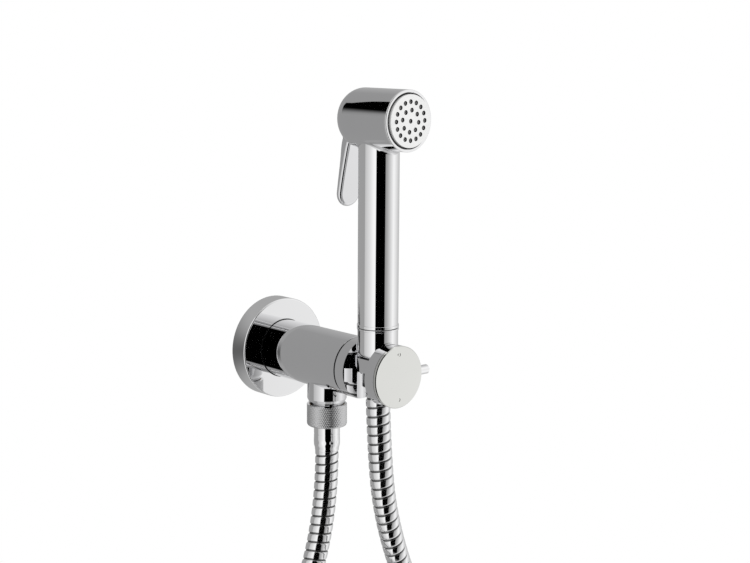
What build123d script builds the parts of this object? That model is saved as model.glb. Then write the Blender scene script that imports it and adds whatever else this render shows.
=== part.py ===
from build123d import *
import math
import os

# Wall-mounted bidet shower mixer, in millimetres. The wall is the plane Y = 0, the barrel points along -Y,
# +Z is up and the origin is the centre of the body's back face. A reach is a distance in front of the wall.

# Wall flange
flange_radius = 30.6
flange_depth = 11.9
flange_wall = 1.8
flange_round = 0.9
flange_gap = 0.45
flange_seal_width = 1.2
flange_seal_play = 0.05
gasket_width = 1.4
gasket_depth = 2.0
gasket_play = 0.1

# Mixer body: base, barrel and outlet stub in one casting
base_gap = 0.8
barrel_radius = 17.6
supply_spacing = 21.0
supply_radius = 7.475
supply_depth = 7.5
wall_screw_inset = 4.5
wall_screw_radius = 2.3
duct_rim = 0.2
duct_radius = 3.2
duct_length = 32.5
check_valve_gap = 4.5
check_valve_length = 9.0
check_valve_radius = 4.0
check_valve_wall = 1.7
poppet_play = 0.1
poppet_length = 3.0
bridge_width = 1.2
filter_thickness = 1.2
filter_hole_radius = 0.6
filter_hole_pitch = 1.6
stub_radius = 11.75
stub_straight = 23.4
stub_length = 27.3
stub_end_radius = 10.2
stub_neck = 0.6
outlet_offset = 12.45
lock_screw_offset = 2.9
lock_screw_angle = 48.0
lock_screw_radius = 2.0
lock_screw_sink = 0.6
lock_socket_radius = 1.0
lock_socket_depth = 1.8
thread_play = 0.08
part_play = 0.08

# Cartridge inside the barrel
pocket_radius = 12.0
cartridge_length = 32.4
cartridge_play = 0.08
base_seal_thickness = 1.0
base_seal_hole_step = 0.6
disc_play = 0.2
disc_thickness = 3.6
disc_hole_step = 0.8
disc_film = 0.05
moving_disc_step = 0.4
moving_window_step = 1.0
housing_wall = 0.92
throat_wall = 3.02
throat_offset = 17.0
housing_lid = 5.0
window_radius = 3.8
seal_section = 0.72
seal_squeeze = 0.01
seal_offset = 3.0
seal_spacing = 3.6
stem_radius = 4.4
stem_play = 0.06
stem_foot_play = 0.02
driver_radius = 8.4
driver_thickness = 3.0
stem_seal_section = 0.6
retainer_gap = 0.05
retainer_thickness = 2.8
retainer_land = 2.0
retainer_bore = 8.6
retainer_notch_width = 2.4
retainer_notch_depth = 1.0
barrel_lip = 3.8

# Turning front: front ring, handset seat and hub in one casting
groove_width = 0.8
glide_play = 0.1
glide_inset = 0.4
glide_step = 0.4
front_depth = 7.15
rim_chamfer = 0.15
handle_boss_radius = 8.0
handle_boss_play = 0.3
spline_radius = 3.9
spline_engagement = 1.15
handle_screw_radius = 1.9
handle_screw_head = 3.4
handle_screw_sink = 2.4
handle_screw_length = 9.0
handle_screw_gap = 0.2
screw_slot_width = 1.0
screw_slot_depth = 0.9
seat_standoff = 10.0
seat_low = 1.0
seat_height = 8.0
seat_wall = 1.35
seat_flat_back = 5.0
liner_wall = 0.5
liner_play = 0.05
liner_gap = 0.4
hose_slot_gap = 0.6
channel_gap = 0.45
lug_half_width = 5.0
lug_bite = 2.0
hub_radius = 17.77
hub_standoff = 8.6
hub_depth = 7.3
cap_gap = 0.3
cap_step = 0.03
cap_thickness = 1.75
cap_chamfer = 0.4
cap_spigot_radius = 9.0
cap_spigot_depth = 3.0
cap_spigot_play = 0.1
mark_height = 13.0
mark_outer = 1.15
mark_inner = 0.7
mark_depth = 0.25
lever_radius = 2.7
lever_length = 9.7
lever_shank_radius = 2.4
lever_shank_length = 6.3
lever_shank_play = 0.05
lever_chamfer = 0.9

# Hose nut, ferrules and hose
thread_radius = 10.3
nut_lap = 0.3
nut_wall = 1.7
nut_chamfer = 1.3
nut_collar = 1.8
nut_top_play = 0.3
nipple_shank_radius = 8.0
nipple_insert = 11.3
nipple_length = 7.9
nipple_bore = 5.5
washer_thickness = 1.6
ferrule_wall = 0.75
ferrule_flange_play = 0.3
ferrule_flange = 1.6
ferrule_length = 15.4
ferrule_bore = 5.0
ferrule_bulge = 0.1
ferrule_mouth_wall = 0.15
ferrule_mouth_length = 1.6
bulge_offset = 5.8
bulge_half_length = 1.3
ferrule_play = 0.1
ferrule_nut_play = 0.4
upper_ferrule_wall = 2.0
upper_ferrule_drop = 8.8
upper_ferrule_lip = 0.4
hose_radius = 7.0
hose_valley = 6.1
hose_bore = 4.6
rib_pitch = 5.4
hose_inset_play = 0.1
hose_crimp_play = 0.08
coil_radius = 76.0
coil_centre = -245.0
coil_pitch = 16.0
coil_start_reach = 63.0
tie_width = 10.0
tie_thickness = 1.6
tie_play = 0.5

# Handset
tube_wall = 1.2
tube_fit = 0.05
tube_length = 117.15
foot_gap = 0.3
foot_round = 2.6
handset_nut_height = 16.7
handset_flange_drop = 2.0
handset_nut_play = 0.1
bead_step = 0.35
bead_round = 0.3
nut_bead_height = 1.15
tube_bead_height = 1.8
seam_height = 0.35
seam_inset = 0.4
inlet_height = 13.3
inlet_bore = 5.2
inlet_step = 2.0
water_tube_radius = 4.4
water_tube_wall = 1.0
water_tube_socket = 8.0
water_tube_plug = 3.4
water_seal_width = 1.0
water_seal_height = 1.6
water_seal_play = 0.02

# Head, with its axis along Y
head_radius = 17.0
head_wall = 1.6
head_back = 23.5
head_front = 23.8
head_rear_round = 12.0
head_flare = 3.0
face_ring_width = 1.45
face_ring_depth = 1.5
face_ring_round = 0.5
face_seal_width = 1.05
face_seal_sink = 0.8
ring_ledge = 0.45
ring_skirt = 4.0
ring_skirt_play = 0.1
plate_stand = 1.5
plate_thickness = 3.8
nozzle_radius = 0.75
nozzle_play = 0.55
nozzle_bore = 0.4
nozzle_sink = 0.5
outer_nozzles = 16
outer_nozzle_circle = 10.5
inner_nozzles = 8
inner_nozzle_circle = 6.0
inner_nozzle_turn = -8.0
mat_inset = 0.9
mat_thickness = 1.5
distributor_inset = 0.1
distributor_wall = 1.3

# Valve in the head
valve_back = 10.0
valve_front = 9.4
valve_radius = 9.2
valve_bore = 7.4
valve_lid = 3.0
valve_seat_wall = 2.4
valve_orifice = 4.0
valve_inlet = 3.2
valve_boss_drop = 3.0
valve_boss_wall = 1.6
rod_radius = 2.0
rod_play = 0.06
plunger_disc = 6.4
plunger_thickness = 1.8
plunger_washer = 1.5
plunger_washer_step = 0.4
washer_gap = 0.06
collar_offset = 0.6
collar_radius = 3.4
collar_thickness = 1.6
rod_seal_section = 0.55
spring_coils = 6
spring_wire = 0.45
spring_radius = 4.4
spring_play = 0.05

# Trigger
pivot_offset = 6.5
pivot_drop = 10.0
pivot_radius = 1.25
pivot_play = 0.05
pivot_half_length = 11.0
trigger_half_width = 6.0
trigger_top_half_width = 5.4
trigger_tip_half_width = 7.9
trigger_boss = 3.2
trigger_length = 40.8
trigger_tip_set_back = 7.8
trigger_tip_thickness = 3.0
trigger_stations = [(-1.5, 6.2, -1.0), (3.5, 8.1, 1.8), (11.5, 8.7, 3.7), (23.5, 9.6, 5.7),
                    (32.8, 10.3, 6.9)]
trigger_front_round = 1.9
trigger_rear_round = 0.9
fork_gap = 2.5
fork_width = 2.0
fork_nose = 1.0
fork_play = 0.3
trigger_slot_play = 0.6
trigger_slot_front = 8.0
trigger_slot_rise = 2.9

# Places along the barrel that follow from these sizes
base_depth = flange_depth - flange_wall - base_gap
gasket_radius = flange_radius - flange_wall - gasket_play
base_radius = gasket_radius - gasket_width - base_gap
wall_screw_spacing = 2 * (base_radius - wall_screw_inset)
check_valve_start = supply_depth + check_valve_gap
pocket_start = supply_depth + duct_length
outlet_reach = pocket_start + outlet_offset
throat_start = pocket_start + throat_offset
housing_end = pocket_start + cartridge_length
housing_bore = pocket_radius - cartridge_play - housing_wall
housing_throat = pocket_radius - cartridge_play - throat_wall
seal_reaches = (throat_start + seal_offset, throat_start + seal_offset + seal_spacing)
disc_radius = housing_bore - disc_play
duct_spacing = 2 * (disc_radius - (duct_radius - base_seal_hole_step) - duct_rim)
moving_disc_start = pocket_start + base_seal_thickness + disc_thickness + disc_film
lock_screw_reach = housing_end - lock_screw_offset
retainer_start = housing_end + retainer_gap
retainer_end = retainer_start + retainer_thickness
retainer_radius = pocket_radius + retainer_land
barrel_end = retainer_end + barrel_lip
front_start = barrel_end + groove_width
face_reach = front_start + front_depth
seat_reach = face_reach + seat_standoff

# Radii and heights of the hose's connections
ferrule_radius = hose_radius + ferrule_wall
upper_ferrule_radius = hose_radius + upper_ferrule_wall
ferrule_flange_radius = thread_radius - ferrule_flange_play
nut_radius = thread_radius + nut_wall
stub_end = -stub_length
nut_top = stub_end + nut_lap
nipple_top = stub_end + nipple_insert
nipple_bottom = stub_end - nipple_length
lower_flange_top = nipple_bottom - washer_thickness
lower_flange_low = lower_flange_top - ferrule_flange
nut_bottom = lower_flange_low - nut_collar
ferrule_end = nut_bottom - ferrule_length
bulge_height = ferrule_end + bulge_offset

# Handset seat, channel and hub
tube_radius = thread_radius + tube_fit + tube_wall
channel_radius = tube_radius + channel_gap
channel_floor = seat_reach - channel_radius
liner_bore = upper_ferrule_radius + liner_gap
seat_bore = liner_bore + liner_wall + liner_play
seat_outer = seat_bore + seat_wall
seat_high = seat_low + seat_height
hose_slot_half = hose_radius + hose_slot_gap
hub_start = seat_reach + hub_standoff
hub_end = hub_start + hub_depth
hub_middle = (hub_start + hub_end) / 2
cap_start = hub_end + cap_gap
spline_end = front_start + spline_engagement
screw_head_start = channel_floor - handle_screw_sink + retainer_gap

# Heights along the handset
handset_low = seat_high + foot_gap
upper_ferrule_end = seat_low - upper_ferrule_drop
upper_flange_low = handset_low + handset_flange_drop
upper_flange_high = upper_flange_low + ferrule_flange
hose_top = upper_flange_high - upper_ferrule_lip - hose_inset_play
inlet_low = upper_flange_high + handset_nut_play + washer_thickness
nut_seam = handset_low + handset_nut_height
tube_low = nut_seam + seam_height
inlet_top = tube_low + inlet_height
water_tube_low = inlet_top - water_tube_socket
water_tube_bore = water_tube_radius - water_tube_wall
head_height = tube_low + tube_length
valve_floor = head_height - valve_radius - valve_boss_drop

# Reaches and radii in the head
head_rear = seat_reach - head_back
head_face = seat_reach + head_front
ring_start = head_face - face_ring_depth
face_ring_bore = head_radius - face_ring_width
plate_radius = face_ring_bore - face_seal_width
plate_front = head_face + plate_stand
plate_back = plate_front - plate_thickness
mat_back = plate_back - mat_thickness
valve_start = seat_reach - valve_back
valve_end = seat_reach + valve_front
washer_front = valve_end - valve_seat_wall - washer_gap
plunger_front = washer_front - plunger_washer
pivot_reach = head_rear + pivot_offset
pivot_height = head_height - pivot_drop
rod_end = pivot_reach - collar_offset

# A cut runs this far past a face, and an edge within this distance of a place is at it
PAST = 1.0
MATCH = 0.02


def turned_y(profile):
    """Solid turned about the barrel's axis, from (radius, reach) corners."""
    outline = Polyline([(radius, -reach) for radius, reach in profile], close=True)
    return revolve(make_face(outline), Axis.Y)


def turned_z(profile, reach):
    """Solid turned about an upright axis at a reach, from (radius, height) corners."""
    outline = Plane.XZ * Polyline([(radius, height) for radius, height in profile], close=True)
    return Pos(0, -reach, 0) * revolve(make_face(outline), Axis.Z)


def ring_y(outer, inner, start, end):
    """Ring or disc along the barrel's axis between two reaches."""
    return turned_y([(inner, start), (outer, start), (outer, end), (inner, end)])


def ring_z(outer, inner, low, high, reach):
    """Ring or disc on an upright axis between two heights."""
    return turned_z([(inner, low), (outer, low), (outer, high), (inner, high)], reach)


def o_ring_y(radius, section, reach):
    """O-ring round the barrel's axis."""
    return Pos(0, -reach, 0) * Rot(90, 0, 0) * Torus(radius, section)


def block(x_low, x_high, reach_low, reach_high, z_low, z_high):
    """Box between two corners, with its Y sides given as reaches."""
    middle = Pos((x_low + x_high) / 2, -(reach_low + reach_high) / 2, (z_low + z_high) / 2)
    return middle * Box(x_high - x_low, reach_high - reach_low, z_high - z_low)


def rod_x(radius, x_low, x_high, reach, height):
    """Round bar along X."""
    middle = Pos((x_low + x_high) / 2, -reach, height)
    return middle * Rot(0, 90, 0) * Cylinder(radius, x_high - x_low)


def rims(part, radius, axis, place):
    """Circular edges of one radius at one place along an axis."""
    found = []
    for edge in part.edges().filter_by(GeomType.CIRCLE):
        centre = edge.arc_center
        along = {"Y": centre.Y, "Z": centre.Z}[axis]
        if abs(edge.radius - radius) < MATCH and abs(along - place) < MATCH:
            found.append(edge)
    return found


def group(pieces):
    """Separate solids of one node."""
    return Compound(children=[solid for piece in pieces for solid in piece.solids()])


def both_sides(part, spacing):
    """Two copies of a part, left and right of the middle."""
    return [Pos(side * spacing / 2, 0, 0) * part for side in (-1, 1)]


# Root: wall flange and mixer body

def make_flange():
    """Deep round cover plate, open at the back."""
    cover = ring_y(flange_radius, barrel_radius + flange_gap, 0, flange_depth)
    cover = fillet(rims(cover, flange_radius, "Y", -flange_depth), flange_round)
    return cover - ring_y(flange_radius - flange_wall, 0, 0, flange_depth - flange_wall)


def make_flange_seal():
    """Thin black ring in the gap between flange and barrel."""
    middle = flange_depth - flange_wall / 2
    return ring_y(barrel_radius + flange_gap - flange_seal_play, barrel_radius + flange_seal_play,
                  middle - flange_seal_width / 2, middle + flange_seal_width / 2)


def make_gasket():
    """Flat ring that seals the flange to the wall."""
    return ring_y(gasket_radius, gasket_radius - gasket_width, 0, gasket_depth)


def lock_plane():
    """Plane at the barrel's axis that faces out along the locking screw."""
    angle = math.radians(lock_screw_angle)
    return Plane(origin=(0, -lock_screw_reach, 0), z_dir=(-math.sin(angle), 0, -math.cos(angle)))


def lock_bar(radius, start, end):
    """Round bar along the locking screw's line."""
    return lock_plane() * Pos(0, 0, (start + end) / 2) * Cylinder(radius, end - start)


def make_body():
    """Casting with base, barrel and outlet stub."""
    stub = turned_z([(0, 0), (stub_radius, 0), (stub_radius, -stub_straight),
                     (stub_end_radius, stub_end + stub_neck), (stub_end_radius, stub_end), (0, stub_end)],
                    outlet_reach)
    body = ring_y(base_radius, 0, 0, base_depth) + ring_y(barrel_radius, 0, 0, barrel_end) + stub
    body = chamfer(rims(body, barrel_radius, "Y", -barrel_end), rim_chamfer)
    body -= ring_y(pocket_radius, 0, pocket_start, housing_end)
    body -= ring_y(retainer_radius + thread_play, 0, housing_end, barrel_end)
    cuts = both_sides(ring_y(supply_radius, 0, 0, supply_depth), supply_spacing)
    cuts += both_sides(ring_y(duct_radius, 0, supply_depth, pocket_start), duct_spacing)
    cuts += both_sides(ring_y(check_valve_radius, 0, supply_depth, check_valve_start + check_valve_length),
                       duct_spacing)
    for cut in cuts:
        body -= cut
    for side in (-1, 1):
        body -= Pos(0, 0, side * wall_screw_spacing / 2) * ring_y(wall_screw_radius, 0, 0, base_depth)
    body -= ring_z(window_radius, 0, nipple_top, 0, outlet_reach)
    body -= ring_z(nipple_shank_radius + thread_play, 0, stub_end, nipple_top, outlet_reach)
    return body - lock_bar(lock_screw_radius + thread_play, pocket_radius - PAST, barrel_radius + PAST)


def make_check_valves():
    """Non-return inserts in the cold and hot ducts."""
    end = check_valve_start + check_valve_length
    middle = (check_valve_start + end) / 2
    bore = check_valve_radius - part_play - check_valve_wall
    valve = ring_y(check_valve_radius - part_play, bore, check_valve_start, end)
    valve += ring_y(bore - poppet_play, 0, middle - poppet_length / 2, middle + poppet_length / 2)
    arm = bore + check_valve_wall / 2
    valve += block(-arm, arm, middle - bridge_width / 2, middle + bridge_width / 2,
                   -bridge_width / 2, bridge_width / 2)
    return group(both_sides(valve, duct_spacing))


def make_filters():
    """Dirt screens in front of the check valves."""
    end = check_valve_start - filter_thickness
    screen = ring_y(check_valve_radius - part_play, 0, end - filter_thickness, end)
    hole = ring_y(filter_hole_radius, 0, end - filter_thickness, end)
    for column in (-1, 0, 1):
        for row in (-1, 0, 1):
            screen -= Pos(column * filter_hole_pitch, 0, row * filter_hole_pitch) * hole
    return group(both_sides(screen, duct_spacing))


def make_lock_screw():
    """Grub screw that keeps the cartridge from turning."""
    outer = barrel_radius - lock_screw_sink
    screw = lock_bar(lock_screw_radius, pocket_radius + part_play, outer)
    socket = extrude(RegularPolygon(lock_socket_radius, 6), -lock_socket_depth)
    return screw - lock_plane() * Pos(0, 0, outer) * socket


# Root: cartridge

def drilled_disc(radius, start, thickness, hole_radius):
    """Disc with the cold and hot holes."""
    disc = ring_y(radius, 0, start, start + thickness)
    for hole in both_sides(ring_y(hole_radius, 0, start, start + thickness), duct_spacing):
        disc -= hole
    return disc


def make_base_seal():
    """Rubber plate under the fixed disc."""
    return drilled_disc(housing_bore - part_play, pocket_start, base_seal_thickness,
                        duct_radius - base_seal_hole_step)


def make_fixed_disc():
    """Ceramic disc that stands still, with the two inlets."""
    return drilled_disc(disc_radius, pocket_start + base_seal_thickness, disc_thickness,
                        duct_radius - disc_hole_step)


def make_moving_disc():
    """Ceramic disc that turns with the stem and meters cold and hot."""
    end = moving_disc_start + disc_thickness
    window = ring_y(duct_radius + moving_window_step, 0, moving_disc_start, end)
    middle = Pos(0, 0, moving_window_step - duct_spacing / 2)
    return ring_y(disc_radius - moving_disc_step, 0, moving_disc_start, end) - middle * window


def make_housing():
    """Cartridge shell with its outlet window and seal grooves."""
    lid_start = housing_end - housing_lid
    lid_middle = housing_end - housing_lid / 2
    shell = ring_y(pocket_radius - cartridge_play, 0, pocket_start, housing_end)
    shell -= ring_y(housing_bore, 0, pocket_start, throat_start)
    shell -= ring_y(housing_throat, 0, throat_start, lid_start)
    shell -= ring_y(stem_radius + stem_play, 0, lid_start, housing_end)
    shell -= ring_z(window_radius, 0, -pocket_radius, -housing_throat, outlet_reach)
    for reach in seal_reaches:
        shell -= ring_y(pocket_radius, pocket_radius - 2 * seal_section, reach - seal_section,
                        reach + seal_section)
    return shell - ring_y(stem_radius + 2 * stem_seal_section, 0, lid_middle - stem_seal_section,
                          lid_middle + stem_seal_section)


def make_housing_seals():
    """Two O-rings between the cartridge and the barrel."""
    radius = pocket_radius - seal_section
    return group([o_ring_y(radius, seal_section - seal_squeeze, reach) for reach in seal_reaches])


def make_retainer():
    """Threaded ring that holds the cartridge in."""
    ring = ring_y(retainer_radius, retainer_bore, retainer_start, retainer_end)
    half = retainer_notch_width / 2
    notch = block(-half, half, retainer_end - retainer_notch_depth, retainer_end + PAST,
                  retainer_bore - PAST, retainer_radius + PAST)
    for angle in (45, 135, 225, 315):
        ring -= Rot(0, angle, 0) * notch
    return ring


def make_glide_ring():
    """Black ring in the groove between the barrel and the turning front."""
    return ring_y(barrel_radius - glide_inset, retainer_radius + glide_step, barrel_end,
                  front_start - glide_play)


# Root: outlet and hose end

def make_nipple():
    """Threaded outlet nipple screwed into the stub."""
    return turned_z([(nipple_bore, nipple_top), (nipple_shank_radius, nipple_top),
                     (nipple_shank_radius, stub_end), (thread_radius, stub_end),
                     (thread_radius, nipple_bottom), (nipple_bore, nipple_bottom)], outlet_reach)


def make_hose_nut():
    """Nut that holds the hose on the nipple."""
    top_bore = thread_radius + nut_top_play
    low_bore = ferrule_radius + ferrule_nut_play
    nut = ring_z(nut_radius, 0, nut_bottom, nut_top, outlet_reach)
    nut = chamfer(rims(nut, nut_radius, "Z", nut_bottom), nut_chamfer)
    nut = chamfer(rims(nut, nut_radius, "Z", nut_top), nut_chamfer / 3)
    nut -= ring_z(low_bore, 0, nut_bottom, nut_top, outlet_reach)
    nut -= ring_z(top_bore, 0, nut_top - PAST, nut_top, outlet_reach)
    return nut - ring_z(thread_radius + thread_play, 0, lower_flange_low, nut_top, outlet_reach)


def make_hose_washer():
    """Flat washer between the nipple and the ferrule."""
    return ring_z(ferrule_flange_radius, nipple_bore, lower_flange_top, nipple_bottom, outlet_reach)


def make_lower_ferrule():
    """Crimped ferrule that leaves the knurled nut and narrows to the hose."""
    bulge = ferrule_radius + ferrule_bulge
    mouth = hose_radius + ferrule_mouth_wall
    profile = [(ferrule_bore, lower_flange_top), (ferrule_flange_radius, lower_flange_top),
               (ferrule_flange_radius, lower_flange_low), (ferrule_radius, lower_flange_low),
               (ferrule_radius, bulge_height + bulge_half_length),
               (bulge, bulge_height + bulge_half_length / 2), (bulge, bulge_height - bulge_half_length / 2),
               (ferrule_radius, bulge_height - bulge_half_length),
               (mouth, ferrule_end + ferrule_mouth_length), (mouth, ferrule_end),
               (ferrule_bore, ferrule_end)]
    return turned_z(profile, outlet_reach)


# Hose: drop, coil and rise

def drop_points():
    """Corners of the hose from the lower ferrule down to the line that touches the coil."""
    return [(0, -outlet_reach, ferrule_end), (0, -outlet_reach, -112.0)]


def rise_points():
    """Corners of the hose from the handset's ferrule down to the line that touches the coil."""
    return [(0, -seat_reach, hose_top), (0, -seat_reach, -30.0), (8.0, -seat_reach, -100.0)]


def tangent_angle(x, z):
    """Angle, from upright, of the line from (x, z) that touches the coil on its +X side."""
    away = math.hypot(x, z - coil_centre)
    return math.degrees(math.asin(coil_radius / away) - math.atan2(x, z - coil_centre))


def coil_start_angle():
    """Angle, from +X towards +Z, at which the drop touches the coil."""
    x, _, z = drop_points()[-1]
    return 180 - tangent_angle(-x, z)


def coil_end_angle():
    """Angle at which the rise leaves the coil, in its second turn."""
    x, _, z = rise_points()[-1]
    return 720 + tangent_angle(x, z)


def coil_point(angle):
    """Point on the coil's centre line at an angle in degrees."""
    turn = math.radians(angle)
    reach = coil_start_reach + coil_pitch * (angle - coil_start_angle()) / 360
    return Vector(coil_radius * math.cos(turn), -reach, coil_centre + coil_radius * math.sin(turn))


def coil_ends():
    """Ends of the coil and the directions in which the hose passes them."""
    first = coil_point(coil_start_angle())
    last = coil_point(coil_end_angle())
    first_way = (first - Vector(*drop_points()[-1])).normalized()
    last_way = (Vector(*rise_points()[-1]) - last).normalized()
    return first, first_way, last, last_way


def biarc(start, start_way, end, end_way):
    """Two arcs that leave start along start_way and reach end along end_way."""
    chord = end - start
    along = chord.dot(start_way + end_way)
    spread = 2 * (1 - start_way.dot(end_way))
    share = (-along + math.sqrt(along**2 + spread * chord.dot(chord))) / spread
    joint = (start + end + (start_way - end_way) * share) / 2
    joint_way = ((end - end_way * share) - (start + start_way * share)).normalized()
    return [TangentArc(start, joint, tangent=start_way), TangentArc(joint, end, tangent=joint_way)]


def coil_path():
    """Line of the coil: arcs of about a quarter turn, with a straight end of one diameter at each end."""
    first, first_way, last, last_way = coil_ends()
    start, end = coil_start_angle(), coil_end_angle()
    count = round((end - start) / 90)
    stations = [(first, first_way)]
    for index in range(1, count):
        angle = start + (end - start) * index / count
        way = coil_point(angle + MATCH) - coil_point(angle - MATCH)
        stations.append((coil_point(angle), way.normalized()))
    stations.append((last, last_way))
    straight = 2 * hose_radius
    edges = [Line(first - first_way * straight, first)]
    for (place, way), (next_place, next_way) in zip(stations, stations[1:]):
        edges += biarc(place, way, next_place, next_way)
    edges.append(Line(last, last + last_way * straight))
    radii = [edge.radius for edge in edges if edge.geom_type == GeomType.CIRCLE]
    print("coil radii", round(min(radii), 1), "to", round(max(radii), 1))
    return Wire([edge.edge() for edge in edges])


def leg_path(points, end):
    """Line of a hose leg to one end of the coil: runs joined by arcs as large as the runs allow."""
    corners = [Vector(*point) for point in points] + [end]
    radii = []
    for before, corner, after in zip(corners, corners[1:], corners[2:]):
        turn = (corner - before).get_angle(after - corner)
        run = min((corner - before).length, (after - corner).length)
        radii.append(0.45 * run / math.tan(math.radians(turn / 2)))
    print("hose leg radii", [round(radius, 1) for radius in radii])
    return FilletPolyline(*corners, radius=radii)


def across(path, share):
    """Plane square to a path, with its X axis kept level."""
    way = path % share
    return Plane(origin=path @ share, x_dir=Vector(1, 0, 0) - way * way.X, z_dir=way)


def ribbed_tube(path):
    """Hose leg with raised ribs, plain for about one diameter at each end, and a bore."""
    length = path.length
    count = int((length - 4 * hose_radius) / rib_pitch)
    first = (length - count * rib_pitch) / 2
    flank = 0.14 * rib_pitch
    crown = 0.74 * rib_pitch
    rings = [(0, hose_radius), (first - flank, hose_radius)]
    for rib in range(count):
        start = first + rib * rib_pitch
        rings += [(start, hose_valley), (start + flank, hose_radius),
                  (start + crown, hose_radius), (start + crown + flank, hose_valley)]
    rings += [(length - first, hose_valley), (length - first + flank, hose_radius), (length, hose_radius)]
    print("ribs", count)
    sections = [across(path, place / length) * Circle(radius) for place, radius in rings]
    bore = sweep(across(path, 0) * Circle(hose_bore), path=path)
    return loft(sections, ruled=True) - bore


def report_coil(line, coil):
    """Print the coil's volume against its section, and its least gap to itself."""
    section = math.pi * (hose_radius**2 - hose_bore**2)
    print("coil volume", round(coil.volume), "section times length", round(section * line.length))
    steps = 600
    samples = [line @ (index / steps) for index in range(steps + 1)]
    apart = math.ceil(steps * 6 * hose_radius / line.length)
    gap = min((near - far).length for index, near in enumerate(samples) for far in samples[index + apart:])
    print("least gap of the coil to itself", round(gap - 2 * hose_radius, 2))


def make_hose():
    """The three lengths of the one hose."""
    first, first_way, last, last_way = coil_ends()
    straight = 2 * hose_radius
    drop_line = leg_path(drop_points(), first - first_way * straight)
    rise_line = leg_path(rise_points(), last + last_way * straight)
    coil_line = coil_path()
    coil = sweep(across(coil_line, 0) * (Circle(hose_radius) - Circle(hose_bore)), path=coil_line)
    report_coil(coil_line, coil)
    print("hose length", round(drop_line.length + coil_line.length + rise_line.length, 1))
    return ribbed_tube(drop_line), coil, ribbed_tube(rise_line)


def make_tie():
    """Strap round the two passes at the coil's foot."""
    foot = 270
    near = -coil_point(foot).Y
    far = -coil_point(foot + 360).Y
    inner = hose_radius + tie_play
    outer = inner + tie_thickness
    spacing = far - near
    hole = extrude(Plane.YZ * SlotCenterToCenter(spacing, 2 * inner), tie_width / 2, both=True)
    band = extrude(Plane.YZ * SlotCenterToCenter(spacing, 2 * outer), tie_width / 2, both=True)
    return Pos(0, -(near + far) / 2, coil_centre - coil_radius) * (band - hole)


# Turning front

def make_seat_sides():
    """Flat sides of the seat, which run past the handset's axis and then slant in to touch the seat's round."""
    corner = seat_reach - seat_flat_back
    angle = 2 * math.atan2(seat_flat_back, seat_outer)
    touch_x = seat_outer * math.cos(angle)
    touch_reach = seat_reach - seat_outer * math.sin(angle)
    end = hub_start + PAST
    outline = Polygon((-seat_outer, -end), (seat_outer, -end), (seat_outer, -corner), (touch_x, -touch_reach),
                      (-touch_x, -touch_reach), (-seat_outer, -corner), align=None)
    return extrude(Pos(0, 0, seat_low) * outline, seat_height)


def make_handle():
    """Casting with front ring, handset seat and hub."""
    disc = ring_y(barrel_radius, 0, front_start, face_reach)
    disc = chamfer(rims(disc, barrel_radius, "Y", -front_start), rim_chamfer)
    disc -= ring_z(channel_radius, 0, -barrel_radius, barrel_radius, seat_reach)
    disc += ring_y(handle_boss_radius, 0, retainer_end + handle_boss_play, front_start + PAST)
    hub = ring_y(hub_radius, 0, hub_start, hub_end)
    hub -= ring_z(channel_radius, 0, seat_high, hub_radius + PAST, seat_reach)
    hub -= ring_z(liner_bore, 0, -hub_radius - PAST, seat_low, seat_reach)
    seat = ring_z(seat_outer, 0, seat_low, seat_high, seat_reach)
    seat += make_seat_sides()
    lug = block(-lug_half_width, lug_half_width, channel_floor - PAST, seat_reach - seat_bore + lug_bite,
                seat_low, seat_high)
    handle = disc + hub + seat + lug
    handle -= ring_z(seat_bore, 0, seat_low, seat_high, seat_reach)
    handle -= block(0, seat_outer + PAST, seat_reach - hose_slot_half, seat_reach + hose_slot_half,
                    seat_low, seat_high)
    handle -= ring_y(spline_radius + part_play, 0, retainer_end, spline_end + handle_screw_gap)
    handle -= ring_y(handle_screw_radius + handle_screw_gap, 0, spline_end, channel_floor + PAST)
    handle -= ring_y(handle_screw_head + handle_screw_gap, 0, channel_floor - handle_screw_sink,
                     channel_floor + PAST)
    handle -= ring_y(cap_spigot_radius + cap_spigot_play, 0, hub_end - cap_spigot_depth, hub_end)
    return handle - rod_x(lever_shank_radius + lever_shank_play,
                          hub_radius - lever_shank_length - handle_screw_gap, hub_radius + PAST,
                          hub_middle, 0)


def make_handle_screw():
    """Screw through the front ring into the stem."""
    head_end = channel_floor - handle_screw_gap
    screw = ring_y(handle_screw_head, 0, screw_head_start, head_end)
    screw += ring_y(handle_screw_radius, 0, screw_head_start - handle_screw_length, screw_head_start)
    return screw - block(-handle_screw_head, handle_screw_head, head_end - screw_slot_depth, head_end + PAST,
                         -screw_slot_width / 2, screw_slot_width / 2)


def make_stem():
    """Cartridge stem from the turning disc to the front."""
    start = moving_disc_start + disc_thickness + stem_foot_play
    groove = housing_end - housing_lid / 2
    stem = ring_y(driver_radius, 0, start, start + driver_thickness)
    stem += ring_y(stem_radius, 0, start, retainer_end)
    stem += ring_y(spline_radius, 0, start, spline_end)
    stem -= ring_y(stem_radius + PAST, stem_radius - stem_seal_section / 2, groove - stem_seal_section,
                   groove + stem_seal_section)
    thread_end = screw_head_start - handle_screw_length - handle_screw_gap
    return stem - ring_y(handle_screw_radius + stem_play, 0, thread_end, spline_end + PAST)


def make_stem_seal():
    """O-ring on the stem."""
    radius = stem_radius + 0.6 * stem_seal_section
    return o_ring_y(radius, 0.85 * stem_seal_section, housing_end - housing_lid / 2)


def make_liner():
    """Plastic liner in the handset seat, open where the hose passes out."""
    liner = ring_z(seat_bore - liner_play, liner_bore, seat_low, seat_high, seat_reach)
    return liner - block(0, seat_outer, seat_reach - hose_slot_half, seat_reach + hose_slot_half,
                         seat_low, seat_high)


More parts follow.
